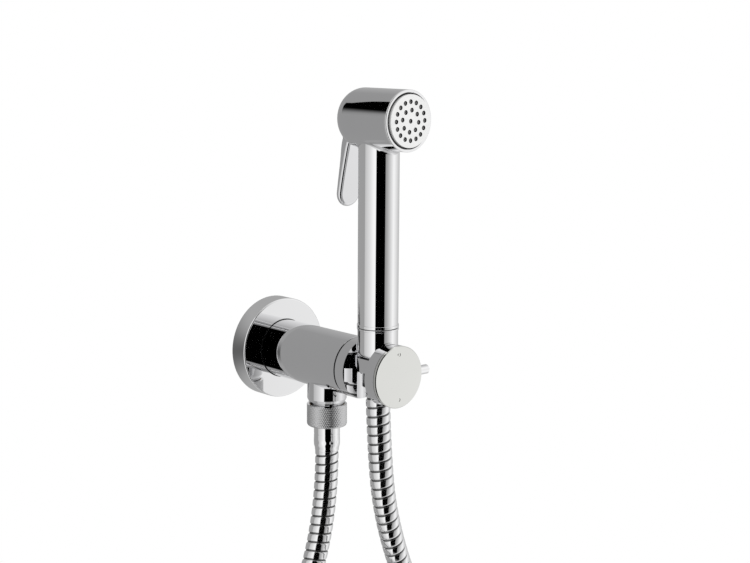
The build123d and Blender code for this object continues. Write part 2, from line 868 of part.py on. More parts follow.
def make_cap():
    """Front disc with an engraved ring for cold and dot for hot."""
    radius = hub_radius + cap_step
    front = cap_start + cap_thickness
    cap = ring_y(radius, 0, cap_start, front)
    cap = chamfer(rims(cap, radius, "Y", -front), cap_chamfer)
    cap += ring_y(cap_spigot_radius, 0, hub_end - cap_spigot_depth + cap_spigot_play, cap_start)
    cap -= Pos(0, 0, mark_height) * ring_y(mark_outer, mark_inner, front - mark_depth, front + PAST)
    return cap - Pos(0, 0, -mark_height) * ring_y(mark_outer, 0, front - mark_depth, front + PAST)


def make_lever_pin():
    """Pin lever pressed into the hub's side."""
    start = hub_radius + lever_shank_play
    tip = hub_radius + lever_length
    pin = rod_x(lever_radius, start, tip, hub_middle, 0)
    end = [edge for edge in pin.edges().filter_by(GeomType.CIRCLE) if edge.arc_center.X > tip - MATCH]
    pin = chamfer(end, lever_chamfer)
    return pin + rod_x(lever_shank_radius, hub_radius - lever_shank_length, start + PAST, hub_middle, 0)


# Hose end that stands in the seat

def make_upper_ferrule():
    """Ferrule that stands in the seat and carries the swivel nut."""
    bore = hose_radius + hose_crimp_play
    lip = upper_flange_high - upper_ferrule_lip
    profile = [(bore, upper_ferrule_end), (upper_ferrule_radius, upper_ferrule_end),
               (upper_ferrule_radius, upper_flange_low), (ferrule_flange_radius, upper_flange_low),
               (ferrule_flange_radius, upper_flange_high),
               (ferrule_bore, upper_flange_high), (ferrule_bore, lip), (bore, lip)]
    return turned_z(profile, seat_reach)


# Handset

def bead(low, high):
    """Raised band with rounded edges, next to the seam between nut and tube."""
    band = ring_z(tube_radius + bead_step, 0, low, high, seat_reach)
    edges = rims(band, tube_radius + bead_step, "Z", low) + rims(band, tube_radius + bead_step, "Z", high)
    return fillet(edges, bead_round)


def make_handset_nut():
    """Swivel nut with a rounded foot that stands on the seat."""
    nut = ring_z(tube_radius, 0, handset_low, nut_seam, seat_reach)
    nut = fillet(rims(nut, tube_radius, "Z", handset_low), foot_round)
    nut += bead(nut_seam - nut_bead_height, nut_seam)
    nut -= ring_z(upper_ferrule_radius + ferrule_play, 0, handset_low, upper_flange_low, seat_reach)
    return nut - ring_z(thread_radius + thread_play, 0, upper_flange_low - handset_nut_play, nut_seam,
                        seat_reach)


def make_handset_washer():
    """Flat washer between the hose end and the inlet nipple."""
    return ring_z(ferrule_flange_radius, inlet_bore, inlet_low - washer_thickness, inlet_low, seat_reach)


def make_trim_ring():
    """Narrow ring in the seam between nut and tube."""
    return ring_z(tube_radius - seam_inset, thread_radius + thread_play, nut_seam, tube_low, seat_reach)


def make_inlet():
    """Threaded nipple at the foot of the tube, with a socket for the water tube."""
    seal_high = inlet_top - water_seal_height
    seal_low = seal_high - water_seal_height
    socket = water_tube_radius + part_play
    collar = tube_radius - tube_wall - part_play
    groove = water_tube_radius + water_seal_width
    profile = [(inlet_bore, inlet_low), (thread_radius, inlet_low), (thread_radius, tube_low),
               (collar, tube_low), (collar, inlet_top), (socket, inlet_top), (socket, seal_high),
               (groove, seal_high),
               (groove, seal_low), (socket, seal_low), (socket, water_tube_low),
               (water_tube_bore, water_tube_low), (water_tube_bore, water_tube_low - inlet_step),
               (inlet_bore, water_tube_low - 2 * inlet_step)]
    return turned_z(profile, seat_reach)


def make_tube():
    """Plain outer tube of the handset, trimmed to the head's inner wall."""
    tube = ring_z(tube_radius, 0, tube_low, head_height, seat_reach)
    tube += bead(tube_low, tube_low + tube_bead_height)
    tube -= ring_z(tube_radius - tube_wall, 0, tube_low, head_height, seat_reach)
    return tube - at_head(ring_y(head_radius - head_wall, 0, head_rear, head_face))


def make_water_tube():
    """Inner tube from the inlet nipple up to the valve."""
    return ring_z(water_tube_radius, water_tube_bore, water_tube_low, valve_floor + water_tube_plug,
                  seat_reach)


def make_water_seals():
    """Seals at both ends of the water tube."""
    high = inlet_top - water_seal_height
    outer = water_tube_radius + water_seal_width - water_seal_play
    inner = water_tube_radius + water_seal_play
    low = high - water_seal_height
    lower = ring_z(outer, inner, low + water_seal_play, high - water_seal_play, seat_reach)
    return group([lower, ring_z(outer, inner, valve_floor - water_seal_height, valve_floor, seat_reach)])


# Head

def at_head(part):
    """Lift a part that was made round the barrel's axis to the head's axis."""
    return Pos(0, 0, head_height) * part


def domed(radius, rear, face, rear_round):
    """Solid about the barrel's axis with a rounded rear edge."""
    flat = radius - rear_round
    turn = JernArc((flat, -rear), (1, 0), rear_round, -90)
    side = Line(turn @ 1, (radius, -face))
    lid = Line(side @ 1, (0, -face))
    axis = Line(lid @ 1, (0, -rear))
    back = Line(axis @ 1, (flat, -rear))
    return revolve(make_face([turn, side, lid, axis, back]), Axis.Y)


def flared_head():
    """Outer form of the head, with a flare that runs down onto the tube."""
    low = head_height - head_radius - 2 * head_flare
    form = at_head(domed(head_radius, head_rear, ring_start, head_rear_round))
    form += ring_z(tube_radius, 0, low, head_height, seat_reach)
    seam = [edge for edge in form.edges() if edge.geom_type not in (GeomType.CIRCLE, GeomType.LINE)]
    return fillet(seam, head_flare)


def make_head_shell():
    """Chromed head, open at the face, with a mouth for the tube and a slot for the trigger."""
    inside = domed(head_radius - head_wall, head_rear + head_wall, ring_start, head_rear_round - head_wall)
    shell = flared_head() - at_head(inside)
    low = head_height - head_radius - 2 * head_flare - PAST
    shell -= ring_z(tube_radius + part_play, 0, low, head_height, seat_reach)
    slot = trigger_half_width + trigger_slot_play
    shell -= block(-slot, slot, head_rear - PAST, pivot_reach + trigger_slot_front, low,
                   pivot_height + trigger_slot_rise)
    pin = pivot_half_length + part_play
    return shell - rod_x(pivot_radius + pivot_play, -pin, pin, pivot_reach, pivot_height)


def make_face_ring():
    """Bright ring screwed into the head's mouth."""
    skirt = head_radius - head_wall - part_play
    skirt_bore = plate_radius + ring_skirt_play
    ledge = ring_start + ring_ledge
    ring = turned_y([(skirt_bore, ring_start - ring_skirt), (skirt, ring_start - ring_skirt),
                     (skirt, ring_start), (head_radius, ring_start), (head_radius, head_face),
                     (face_ring_bore, head_face), (face_ring_bore, ledge), (skirt_bore, ledge)])
    return at_head(fillet(rims(ring, head_radius, "Y", -head_face), face_ring_round))


def make_face_seal():
    """Black ring between the spray plate and the bright ring."""
    return at_head(ring_y(face_ring_bore - part_play, plate_radius + part_play, ring_start + ring_ledge,
                          head_face - face_seal_sink))


def nozzle_places():
    """X and Z of the 25 nozzles about the head's axis."""
    places = [(0.0, 0.0)]
    for count, radius, turn in ((outer_nozzles, outer_nozzle_circle, 0.0),
                                (inner_nozzles, inner_nozzle_circle, inner_nozzle_turn)):
        for index in range(count):
            angle = math.radians(90 + turn) + 2 * math.pi * index / count
            places.append((radius * math.cos(angle), radius * math.sin(angle)))
    return places


def at_nozzles(part):
    """A copy of a part at each nozzle."""
    return Compound(children=[Pos(x, 0, z) * part for x, z in nozzle_places()])


def make_spray_plate():
    """White plate with a hole for each nozzle."""
    hole = ring_y(nozzle_radius + nozzle_play, 0, plate_back - PAST, plate_front + PAST)
    return at_head(ring_y(plate_radius, 0, plate_back, plate_front) - at_nozzles(hole))


def make_nozzle_mat():
    """Silicone mat with its nozzles, which end inside the plate's holes."""
    tip = plate_front - nozzle_sink
    mat = ring_y(plate_radius - mat_inset, 0, mat_back, plate_back)
    for x, z in nozzle_places():
        mat += Pos(x, 0, z) * ring_y(nozzle_radius, 0, mat_back, tip)
    return at_head(mat - at_nozzles(ring_y(nozzle_bore, 0, mat_back - PAST, tip + PAST)))


def make_distributor():
    """Cup that spreads the water behind the nozzle mat."""
    radius = plate_radius - distributor_inset
    cup = ring_y(radius, 0, valve_end, mat_back)
    cup -= ring_y(radius - distributor_wall, 0, valve_end + distributor_wall, mat_back)
    return at_head(cup - ring_y(valve_orifice, 0, valve_end, mat_back))


# Valve

def make_valve_housing():
    """Valve body with its seat at the front, rod guide at the rear and inlet below."""
    lid_end = valve_start + valve_lid
    groove = valve_start + valve_lid / 2
    body = ring_y(valve_radius, 0, valve_start, valve_end)
    body = at_head(body)
    body += ring_z(water_tube_radius + valve_boss_wall, 0, valve_floor, head_height, seat_reach)
    body -= at_head(ring_y(valve_bore, 0, lid_end, valve_end - valve_seat_wall))
    body -= at_head(ring_y(valve_orifice, 0, valve_end - valve_seat_wall, valve_end))
    body -= at_head(ring_y(rod_radius + rod_play, 0, valve_start, lid_end))
    body -= at_head(ring_y(rod_radius + 2 * rod_seal_section, 0, groove - rod_seal_section,
                           groove + rod_seal_section))
    plug_top = valve_floor + water_tube_plug + part_play
    body -= ring_z(water_tube_radius + part_play, 0, valve_floor, plug_top, seat_reach)
    return body - ring_z(valve_inlet, 0, valve_floor, head_height, seat_reach)


def make_rod_seal():
    """O-ring round the plunger rod."""
    radius = rod_radius + 1.05 * rod_seal_section
    return at_head(o_ring_y(radius, 0.9 * rod_seal_section, valve_start + valve_lid / 2))


def make_seat_washer():
    """Rubber washer on the plunger."""
    return at_head(ring_y(plunger_disc - plunger_washer_step, 0, plunger_front, washer_front))


def make_plunger():
    """Plunger with its disc, rod and the collar that the trigger pulls."""
    plunger = ring_y(plunger_disc, 0, plunger_front - plunger_thickness, plunger_front)
    plunger += ring_y(rod_radius, 0, rod_end, plunger_front)
    return at_head(plunger + ring_y(collar_radius, 0, rod_end, rod_end + collar_thickness))


def make_spring():
    """Closing spring between the valve's rear wall and the plunger's disc."""
    start = valve_start + valve_lid + spring_wire + spring_play
    end = plunger_front - plunger_thickness - spring_wire - spring_play
    line = Helix((end - start) / spring_coils, end - start, spring_radius)
    coil = sweep(Plane(origin=line @ 0, z_dir=line % 0) * Circle(spring_wire), path=line, is_frenet=True)
    return at_head(Pos(0, -start, 0) * Rot(90, 0, 0) * coil)


# Trigger

def make_pivot_pin():
    """Pin that the trigger turns on."""
    return rod_x(pivot_radius, -pivot_half_length, pivot_half_length, pivot_reach, pivot_height)


def paddle_stations():
    """Drops below the pivot, with the set-backs of the paddle's rear and front faces there."""
    tip = (trigger_length, trigger_tip_set_back + trigger_tip_thickness, trigger_tip_set_back)
    return [*trigger_stations, tip]


def paddle_rims(paddle, at_front):
    """Curved edges on the front or the rear of the paddle."""
    top, tip = paddle_stations()[0], paddle_stations()[-1]
    found = []
    for edge in paddle.edges():
        middle = edge @ 0.5
        share = (pivot_height - middle.Z - top[0]) / (tip[0] - top[0])
        halfway = (1 - share) * (top[1] + top[2]) / 2 + share * (tip[1] + tip[2]) / 2
        is_front = middle.Y + pivot_reach < halfway
        if edge.geom_type != GeomType.LINE and is_front == at_front:
            found.append(edge)
    return found


def make_paddle():
    """Trigger's paddle, with a round tip and rounded edges, thicker towards the pivot."""
    stations = paddle_stations()
    front = Spline([(ahead - pivot_reach, pivot_height - drop) for drop, _, ahead in stations])
    rear = Spline([(behind - pivot_reach, pivot_height - drop) for drop, behind, _ in reversed(stations)])
    side = make_face([front, Line(front @ 1, rear @ 0), rear, Line(rear @ 1, front @ 0)])
    wide, narrow = trigger_tip_half_width, trigger_top_half_width
    left = Plane(origin=(-wide, 0, 0), x_dir=(0, 1, 0), z_dir=(1, 0, 0))
    paddle = extrude(left * side, 2 * wide, dir=(1, 0, 0))
    low = pivot_height - trigger_length + wide
    high = pivot_height + trigger_boss
    angle = math.atan2(high - low, narrow) - math.acos(wide / math.hypot(narrow, high - low))
    touch_x, touch_z = wide * math.cos(angle), low + wide * math.sin(angle)
    outline = Polygon((-narrow, high), (-touch_x, touch_z), (touch_x, touch_z), (narrow, high), align=None)
    outline += Pos(0, low) * Circle(wide)
    paddle = paddle & extrude(Plane.XZ * outline, pivot_reach + trigger_boss)
    paddle = fillet(paddle_rims(paddle, False), trigger_rear_round)
    return fillet(paddle_rims(paddle, True), trigger_front_round)


def make_trigger():
    """Trigger lever: paddle, pivot boss and a fork that pulls the plunger back."""
    trigger = make_paddle()
    trigger += rod_x(trigger_boss, -trigger_half_width, trigger_half_width, pivot_reach, pivot_height)
    nose_reach = rod_end + collar_thickness + fork_play + fork_nose
    for inner, outer in ((-fork_gap - fork_width, -fork_gap), (fork_gap, fork_gap + fork_width)):
        trigger += block(inner, outer, nose_reach - fork_nose, nose_reach + fork_nose,
                         pivot_height, head_height)
        trigger += rod_x(fork_nose, inner, outer, nose_reach, head_height)
    return trigger - rod_x(pivot_radius + pivot_play, -trigger_half_width - PAST, trigger_half_width + PAST,
                           pivot_reach, pivot_height)


def build_all():
    """All nodes by name."""
    drop, coil, rise = make_hose()
    return {
        "wall_flange": make_flange(),
        "flange_seal": make_flange_seal(),
        "wall_gasket": make_gasket(),
        "mixer_body": make_body(),
        "check_valves": make_check_valves(),
        "inlet_filters": make_filters(),
        "lock_screw": make_lock_screw(),
        "cartridge_base_seal": make_base_seal(),
        "ceramic_disc_fixed": make_fixed_disc(),
        "ceramic_disc_turning": make_moving_disc(),
        "cartridge_housing": make_housing(),
        "cartridge_seals": make_housing_seals(),
        "cartridge_stem": make_stem(),
        "stem_seal": make_stem_seal(),
        "cartridge_retainer": make_retainer(),
        "glide_ring": make_glide_ring(),
        "outlet_nipple": make_nipple(),
        "hose_nut": make_hose_nut(),
        "hose_washer": make_hose_washer(),
        "outlet_ferrule": make_lower_ferrule(),
        "hose_drop": drop,
        "hose_coil": coil,
        "hose_rise": rise,
        "hose_tie": make_tie(),
        "mixer_handle": make_handle(),
        "handle_screw": make_handle_screw(),
        "seat_liner": make_liner(),
        "handle_cap": make_cap(),
        "lever_pin": make_lever_pin(),
        "handset_ferrule": make_upper_ferrule(),
        "handset_nut": make_handset_nut(),
        "handset_washer": make_handset_washer(),
        "trim_ring": make_trim_ring(),
        "handset_inlet": make_inlet(),
        "handset_tube": make_tube(),
        "water_tube": make_water_tube(),
        "water_tube_seals": make_water_seals(),
        "head_shell": make_head_shell(),
        "face_ring": make_face_ring(),
        "face_seal": make_face_seal(),
        "spray_plate": make_spray_plate(),
        "nozzle_mat": make_nozzle_mat(),
        "water_distributor": make_distributor(),
        "valve_housing": make_valve_housing(),
        "rod_seal": make_rod_seal(),
        "seat_washer": make_seat_washer(),
        "valve_plunger": make_plunger(),
        "valve_spring": make_spring(),
        "pivot_pin": make_pivot_pin(),
        "trigger_lever": make_trigger(),
    }


os.makedirs("parts", exist_ok=True)
for name, part in build_all().items():
    export_step(part, f"parts/{name}.step")
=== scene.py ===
"""Looks of a wall-mounted bidet shower mixer, in metres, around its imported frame.

The wall is the plane Y = 0 and the barrel points along -Y. Each sub-assembly is a class that holds its sizes,
builds its meshes and dresses them. Sizes are in millimetres where a name says so, and in metres elsewhere.
"""
import logging
import math
from dataclasses import dataclass
from enum import Enum
from typing import Callable, Iterable, Sequence

import bmesh
import bpy
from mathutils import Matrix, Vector


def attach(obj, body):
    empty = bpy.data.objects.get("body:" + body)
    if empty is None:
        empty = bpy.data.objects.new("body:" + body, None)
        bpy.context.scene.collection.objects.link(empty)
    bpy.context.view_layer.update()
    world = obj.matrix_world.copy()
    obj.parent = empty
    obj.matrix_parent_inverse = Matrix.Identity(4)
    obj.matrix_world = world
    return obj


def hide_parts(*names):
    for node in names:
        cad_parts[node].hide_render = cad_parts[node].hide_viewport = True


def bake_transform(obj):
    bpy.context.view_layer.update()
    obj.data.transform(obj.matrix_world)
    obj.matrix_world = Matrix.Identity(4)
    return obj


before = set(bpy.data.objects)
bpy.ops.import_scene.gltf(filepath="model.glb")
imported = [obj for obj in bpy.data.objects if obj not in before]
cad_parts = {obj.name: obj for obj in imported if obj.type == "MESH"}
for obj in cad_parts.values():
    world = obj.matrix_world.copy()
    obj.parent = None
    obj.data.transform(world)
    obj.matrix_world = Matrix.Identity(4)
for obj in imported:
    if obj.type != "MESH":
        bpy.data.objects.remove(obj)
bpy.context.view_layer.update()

log = logging.getLogger("mixer")

MM = 0.001
SHARP_ANGLE = math.radians(32)
DOUBLED = 0.002 * MM
NO_AREA = 0.001 * MM
NOISE_LOW, NOISE_HIGH = 0.35, 0.65
Point = tuple[float, float]
Colour = tuple[float, float, float]


class Shade(Enum):
    """What a glowing card's level follows."""

    HEIGHT = "height, with a tilt"
    FROM_MIDDLE = "height above or below the barrel's axis"


class Effect(Enum):
    """Shared surface effects, each a shader node group."""

    SMUDGES = "Hand smudges"
    GRAIN = "Moulded grain"
    TURNING = "Turning marks"
    MOTTLE = "Mottled tint"


# Shared surface effects

class NodeSheet:
    """A node tree with short ways to add nodes and join them."""

    def __init__(self, tree: bpy.types.NodeTree) -> None:
        """Keep the tree that the nodes go into."""
        self.tree = tree

    def add(self, kind: str, **settings: object) -> bpy.types.Node:
        """Add a node.

        Args:
            kind: Blender's node type.
            settings: Properties set on the node.

        Returns:
            The new node.
        """
        node = self.tree.nodes.new(kind)
        for name, value in settings.items():
            setattr(node, name, value)
        return node

    def join(self, source: bpy.types.NodeSocket, target: bpy.types.NodeSocket) -> None:
        """Link an output to an input."""
        self.tree.links.new(source, target)

    def math(self, operation: str, first: object, second: object = None, third: object = None,
             clamp: bool = False) -> bpy.types.NodeSocket:
        """Add a Math node.

        Args:
            operation: The sum to do.
            first: A socket or a number.
            second: A socket, a number or nothing.
            third: A socket, a number or nothing.
            clamp: True keeps the result between 0 and 1.

        Returns:
            The node's output.
        """
        node = self.add("ShaderNodeMath", operation=operation, use_clamp=clamp)
        for socket, value in zip(node.inputs, (first, second, third)):
            if isinstance(value, bpy.types.NodeSocket):
                self.join(value, socket)
            elif value is not None:
                socket.default_value = value
        return node.outputs[0]

    def mix(self, share: object, low: object, high: object) -> bpy.types.NodeSocket:
        """Mix two colours.

        Args:
            share: How much of the second colour, a socket or a number.
            low: First colour, as a socket or red, green and blue.
            high: Second colour, likewise.

        Returns:
            The mixed colour's socket.
        """
        node = self.add("ShaderNodeMix", data_type="RGBA")
        for socket, value in ((node.inputs[0], share), (node.inputs[6], low), (node.inputs[7], high)):
            if isinstance(value, bpy.types.NodeSocket):
                self.join(value, socket)
            elif isinstance(value, tuple):
                socket.default_value = (*value, 1.0)
            else:
                socket.default_value = value
        return node.outputs[2]


class EffectShelf:
    """Builds each shared effect once and places it in materials."""

    def __init__(self) -> None:
        """Build the four node groups."""
        self.groups = {
            Effect.SMUDGES: self.smudges(),
            Effect.GRAIN: self.grain(),
            Effect.TURNING: self.turning(),
            Effect.MOTTLE: self.mottle(),
        }

    def start(self, effect: Effect, inputs: dict[str, float], outputs: Iterable[str]) -> tuple:
        """Begin a node group.

        Args:
            effect: Which effect it is.
            inputs: Names and defaults of its number inputs.
            outputs: Names of its number outputs.

        Returns:
            The group, its sheet, its input node, its output node and object coordinates.
        """
        group = bpy.data.node_groups.new(effect.value, "ShaderNodeTree")
        for name, value in inputs.items():
            socket = group.interface.new_socket(name, in_out="INPUT", socket_type="NodeSocketFloat")
            socket.default_value = value
        for name in outputs:
            group.interface.new_socket(name, in_out="OUTPUT", socket_type="NodeSocketFloat")
        sheet = NodeSheet(group)
        inlet = sheet.add("NodeGroupInput")
        outlet = sheet.add("NodeGroupOutput")
        place = sheet.add("ShaderNodeTexCoord").outputs["Object"]
        return group, sheet, inlet, outlet, place

    def noise(self, sheet: NodeSheet, place: bpy.types.NodeSocket, scale: object,
              detail: float) -> bpy.types.NodeSocket:
        """Add a noise texture.

        Args:
            sheet: Where it goes.
            place: Coordinates.
            scale: Features per metre, a socket or a number.
            detail: Octaves.

        Returns:
            Its value, about 0.3 to 0.7.
        """
        node = sheet.add("ShaderNodeTexNoise")
        node.inputs["Detail"].default_value = detail
        sheet.join(place, node.inputs["Vector"])
        if isinstance(scale, bpy.types.NodeSocket):
            sheet.join(scale, node.inputs["Scale"])
        else:
            node.inputs["Scale"].default_value = scale
        return node.outputs["Fac"]

    def spread(self, sheet: NodeSheet, value: bpy.types.NodeSocket, low: object,
               high: object) -> bpy.types.NodeSocket:
        """Stretch a noise value over a range.

        Args:
            sheet: Where it goes.
            value: The noise.
            low: Result where the noise is low.
            high: Result where the noise is high.

        Returns:
            The stretched value.
        """
        node = sheet.add("ShaderNodeMapRange")
        node.inputs["From Min"].default_value = NOISE_LOW
        node.inputs["From Max"].default_value = NOISE_HIGH
        sheet.join(value, node.inputs["Value"])
        for name, limit in (("To Min", low), ("To Max", high)):
            if isinstance(limit, bpy.types.NodeSocket):
                sheet.join(limit, node.inputs[name])
            else:
                node.inputs[name].default_value = limit
        return node.outputs["Result"]

    def smudges(self) -> bpy.types.NodeTree:
        """Faint cloudy traces of wiping: a roughness, and the height of a very slight ripple."""
        group, sheet, inlet, outlet, place = self.start(
            Effect.SMUDGES, {"Scale": 40.0, "Clean": 0.03, "Wiped": 0.06}, ("Roughness", "Ripple"))
        cloud = self.noise(sheet, place, inlet.outputs["Scale"], 3.0)
        sheet.join(self.spread(sheet, cloud, inlet.outputs["Clean"], inlet.outputs["Wiped"]),
                   outlet.inputs["Roughness"])
        sheet.join(self.noise(sheet, place, inlet.outputs["Scale"], 0.0), outlet.inputs["Ripple"])
        return group

    def grain(self) -> bpy.types.NodeTree:
        """Fine moulded texture: a height and a mask of its pits."""
        group, sheet, inlet, outlet, place = self.start(
            Effect.GRAIN, {"Scale": 2500.0}, ("Height", "Pits"))
        cells = sheet.add("ShaderNodeTexVoronoi", feature="SMOOTH_F1")
        sheet.join(place, cells.inputs["Vector"])
        sheet.join(inlet.outputs["Scale"], cells.inputs["Scale"])
        fine = self.noise(sheet, place, inlet.outputs["Scale"], 2.0)
        sheet.join(sheet.math("ADD", cells.outputs["Distance"], fine), outlet.inputs["Height"])
        sheet.join(self.spread(sheet, fine, 0.0, 1.0), outlet.inputs["Pits"])
        return group

    def turning(self) -> bpy.types.NodeTree:
        """Fine lathe lines that run along X: a height and a roughness."""
        group, sheet, inlet, outlet, place = self.start(
            Effect.TURNING, {"Pitch": 4000.0, "Fine": 0.18, "Coarse": 0.34}, ("Height", "Roughness"))
        stretch = sheet.add("ShaderNodeVectorMath", operation="MULTIPLY")
        stretch.inputs[1].default_value = (0.02, 1.0, 1.0)
        sheet.join(place, stretch.inputs[0])
        lines = self.noise(sheet, stretch.outputs[0], inlet.outputs["Pitch"], 2.0)
        sheet.join(lines, outlet.inputs["Height"])
        sheet.join(self.spread(sheet, lines, inlet.outputs["Fine"], inlet.outputs["Coarse"]),
                   outlet.inputs["Roughness"])
        return group

    def mottle(self) -> bpy.types.NodeTree:
        """Slow change of tone over a surface, as a mask."""
        group, sheet, inlet, outlet, place = self.start(Effect.MOTTLE, {"Scale": 90.0}, ("Mask",))
        cloud = self.noise(sheet, place, inlet.outputs["Scale"], 4.0)
        sheet.join(self.spread(sheet, cloud, 0.0, 1.0), outlet.inputs["Mask"])
        return group

    def place(self, sheet: NodeSheet, effect: Effect, **values: float) -> bpy.types.Node:
        """Put an effect in a material.

        Args:
            sheet: The material's nodes.
            effect: Which effect.
            values: Its inputs by name.

        Returns:
            The group node.
        """
        node = sheet.add("ShaderNodeGroup", node_tree=self.groups[effect])
        for name, value in values.items():
            node.inputs[name].default_value = value
        return node


# Finishes

@dataclass(frozen=True)
class Chrome:
    """Polished chrome over brass or zinc."""

    name: str
    colour: Colour
    clean: float = 0.012
    wiped: float = 0.03
    ripple: float = 0.02
    ripple_depth: float = 0.1
    tone_scale: float = 30.0
    tone_drop: float = 0.985
    wipe_scale: float = 55.0

    def make(self, shelf: EffectShelf) -> bpy.types.Material:
        """Build the material: a mirror with faint wiping marks."""
        material, sheet, shader = blank_material(self.name)
        tone = shelf.place(sheet, Effect.MOTTLE, Scale=self.tone_scale)
        darker = tuple(self.tone_drop * part for part in self.colour)
        sheet.join(sheet.mix(tone.outputs["Mask"], self.colour, darker), shader.inputs["Base Color"])
        shader.inputs["Metallic"].default_value = 1.0
        marks = shelf.place(sheet, Effect.SMUDGES, Scale=self.wipe_scale, Clean=self.clean, Wiped=self.wiped)
        sheet.join(marks.outputs["Roughness"], shader.inputs["Roughness"])
        bump(sheet, shader, marks.outputs["Ripple"], self.ripple, self.ripple_depth * MM)
        return material


@dataclass(frozen=True)
class TurnedMetal:
    """Bare metal with the marks of a lathe."""

    name: str
    colour: Colour
    tint: Colour
    pitch: float = 4000.0
    tone_scale: float = 160.0
    ring_bump: float = 0.25
    ring_depth: float = 0.02

    def make(self, shelf: EffectShelf) -> bpy.types.Material:
        """Build the material: fine lines in height and roughness."""
        material, sheet, shader = blank_material(self.name)
        tone = shelf.place(sheet, Effect.MOTTLE, Scale=self.tone_scale)
        sheet.join(sheet.mix(tone.outputs["Mask"], self.colour, self.tint), shader.inputs["Base Color"])
        shader.inputs["Metallic"].default_value = 1.0
        rings = shelf.place(sheet, Effect.TURNING, Pitch=self.pitch)
        sheet.join(rings.outputs["Roughness"], shader.inputs["Roughness"])
        bump(sheet, shader, rings.outputs["Height"], self.ring_bump, self.ring_depth * MM)
        return material


@dataclass(frozen=True)
class Moulded:
    """Plastic, rubber or ceramic."""

    name: str
    colour: Colour
    tint: Colour
    gloss: float
    dull: float
    grain_scale: float = 2500.0
    grain_bump: float = 0.3
    grain_depth: float = 0.02
    pit_share: float = 0.4
    tone_scale: float = 120.0
    wipe_scale: float = 90.0

    def make(self, shelf: EffectShelf) -> bpy.types.Material:
        """Build the material: tone, fine grain and an uneven gloss."""
        material, sheet, shader = blank_material(self.name)
        tone = shelf.place(sheet, Effect.MOTTLE, Scale=self.tone_scale)
        grain = shelf.place(sheet, Effect.GRAIN, Scale=self.grain_scale)
        share = sheet.math("MULTIPLY_ADD", grain.outputs["Pits"], self.pit_share,
                           sheet.math("MULTIPLY", tone.outputs["Mask"], 1 - self.pit_share))
        sheet.join(sheet.mix(share, self.colour, self.tint), shader.inputs["Base Color"])
        wipe = shelf.place(sheet, Effect.SMUDGES, Scale=self.wipe_scale, Clean=self.gloss, Wiped=self.dull)
        sheet.join(wipe.outputs["Roughness"], shader.inputs["Roughness"])
        bump(sheet, shader, grain.outputs["Height"], self.grain_bump, self.grain_depth * MM)
        return material


@dataclass(frozen=True)
class SprayFace:
    """White plate or grey mat of the spray face, with painted shade inside its holes and gaps."""

    name: str
    face: Colour
    front_reach: float
    # Depths below the front, in millimetres, over which the painted shade sets in: in holes and gaps, and at
    # the rim.
    hole_shade_fade: float
    rim_shade_fade: float
    gloss: float
    head_height: float = 143.5
    rim_radius: float = 14.1
    # Colour of the painted shade deep below the front face.
    depth: Colour = (0.004, 0.004, 0.004)
    tone_drop: float = 0.97
    tone_scale: float = 150.0
    wipe_scale: float = 120.0
    wipe_spread: float = 0.08
    grain_scale: float = 3000.0
    grain_bump: float = 0.15
    grain_depth: float = 0.01

    def make(self, shelf: EffectShelf) -> bpy.types.Material:
        """Build the material: painted shade turns the face's colour dark below the front, more slowly at the
        rim.
        """
        material, sheet, shader = blank_material(self.name)
        tone = shelf.place(sheet, Effect.MOTTLE, Scale=self.tone_scale)
        softer = tuple(self.tone_drop * part for part in self.face)
        front = sheet.mix(tone.outputs["Mask"], self.face, softer)
        place = sheet.add("ShaderNodeTexCoord").outputs["Object"]
        parts = sheet.add("ShaderNodeSeparateXYZ")
        sheet.join(place, parts.inputs[0])
        flat = sheet.add("ShaderNodeVectorMath", operation="MULTIPLY_ADD")
        sheet.join(place, flat.inputs[0])
        flat.inputs[1].default_value = (1.0, 0.0, 1.0)
        flat.inputs[2].default_value = (0.0, 0.0, -self.head_height * MM)
        length = sheet.add("ShaderNodeVectorMath", operation="LENGTH")
        sheet.join(flat.outputs["Vector"], length.inputs[0])
        at_rim = sheet.math("GREATER_THAN", length.outputs["Value"], self.rim_radius * MM)
        fade = sheet.math("MULTIPLY_ADD", at_rim, (self.rim_shade_fade - self.hole_shade_fade) * MM, self.hole_shade_fade * MM)
        depth = sheet.math("ADD", parts.outputs["Y"], self.front_reach * MM)
        # Painted shade: the colour turns dark with depth below the front face.
        painted_shade_share = sheet.math("DIVIDE", depth, fade, clamp=True)
        sheet.join(sheet.mix(painted_shade_share, front, self.depth), shader.inputs["Base Color"])
        grain = shelf.place(sheet, Effect.GRAIN, Scale=self.grain_scale)
        wipe = shelf.place(sheet, Effect.SMUDGES, Scale=self.wipe_scale, Clean=self.gloss,
                           Wiped=self.gloss + self.wipe_spread)
        sheet.join(wipe.outputs["Roughness"], shader.inputs["Roughness"])
        bump(sheet, shader, grain.outputs["Height"], self.grain_bump, self.grain_depth * MM)
        return material


def blank_material(name: str) -> tuple[bpy.types.Material, NodeSheet, bpy.types.Node]:
    """Make a material with a Principled shader.

    Args:
        name: Its name.

    Returns:
        The material, its sheet and the shader node.
    """
    material = bpy.data.materials.new(name)
    material.use_nodes = True
    sheet = NodeSheet(material.node_tree)
    shader = material.node_tree.nodes["Principled BSDF"]
    return material, sheet, shader


def bump(sheet: NodeSheet, shader: bpy.types.Node, height: bpy.types.NodeSocket, strength: float,
         distance: float) -> None:
    """Join a height to a shader's normal.

    Args:
        sheet: The material's nodes.
        shader: The Principled shader.
        height: The height's socket.
        strength: Share of the bump, 0 to 1.
        distance: Depth in metres.
    """
    node = sheet.add("ShaderNodeBump")
    node.inputs["Strength"].default_value = strength
    node.inputs["Distance"].default_value = distance
    sheet.join(height, node.inputs["Height"])
    sheet.join(node.outputs["Normal"], shader.inputs["Normal"])


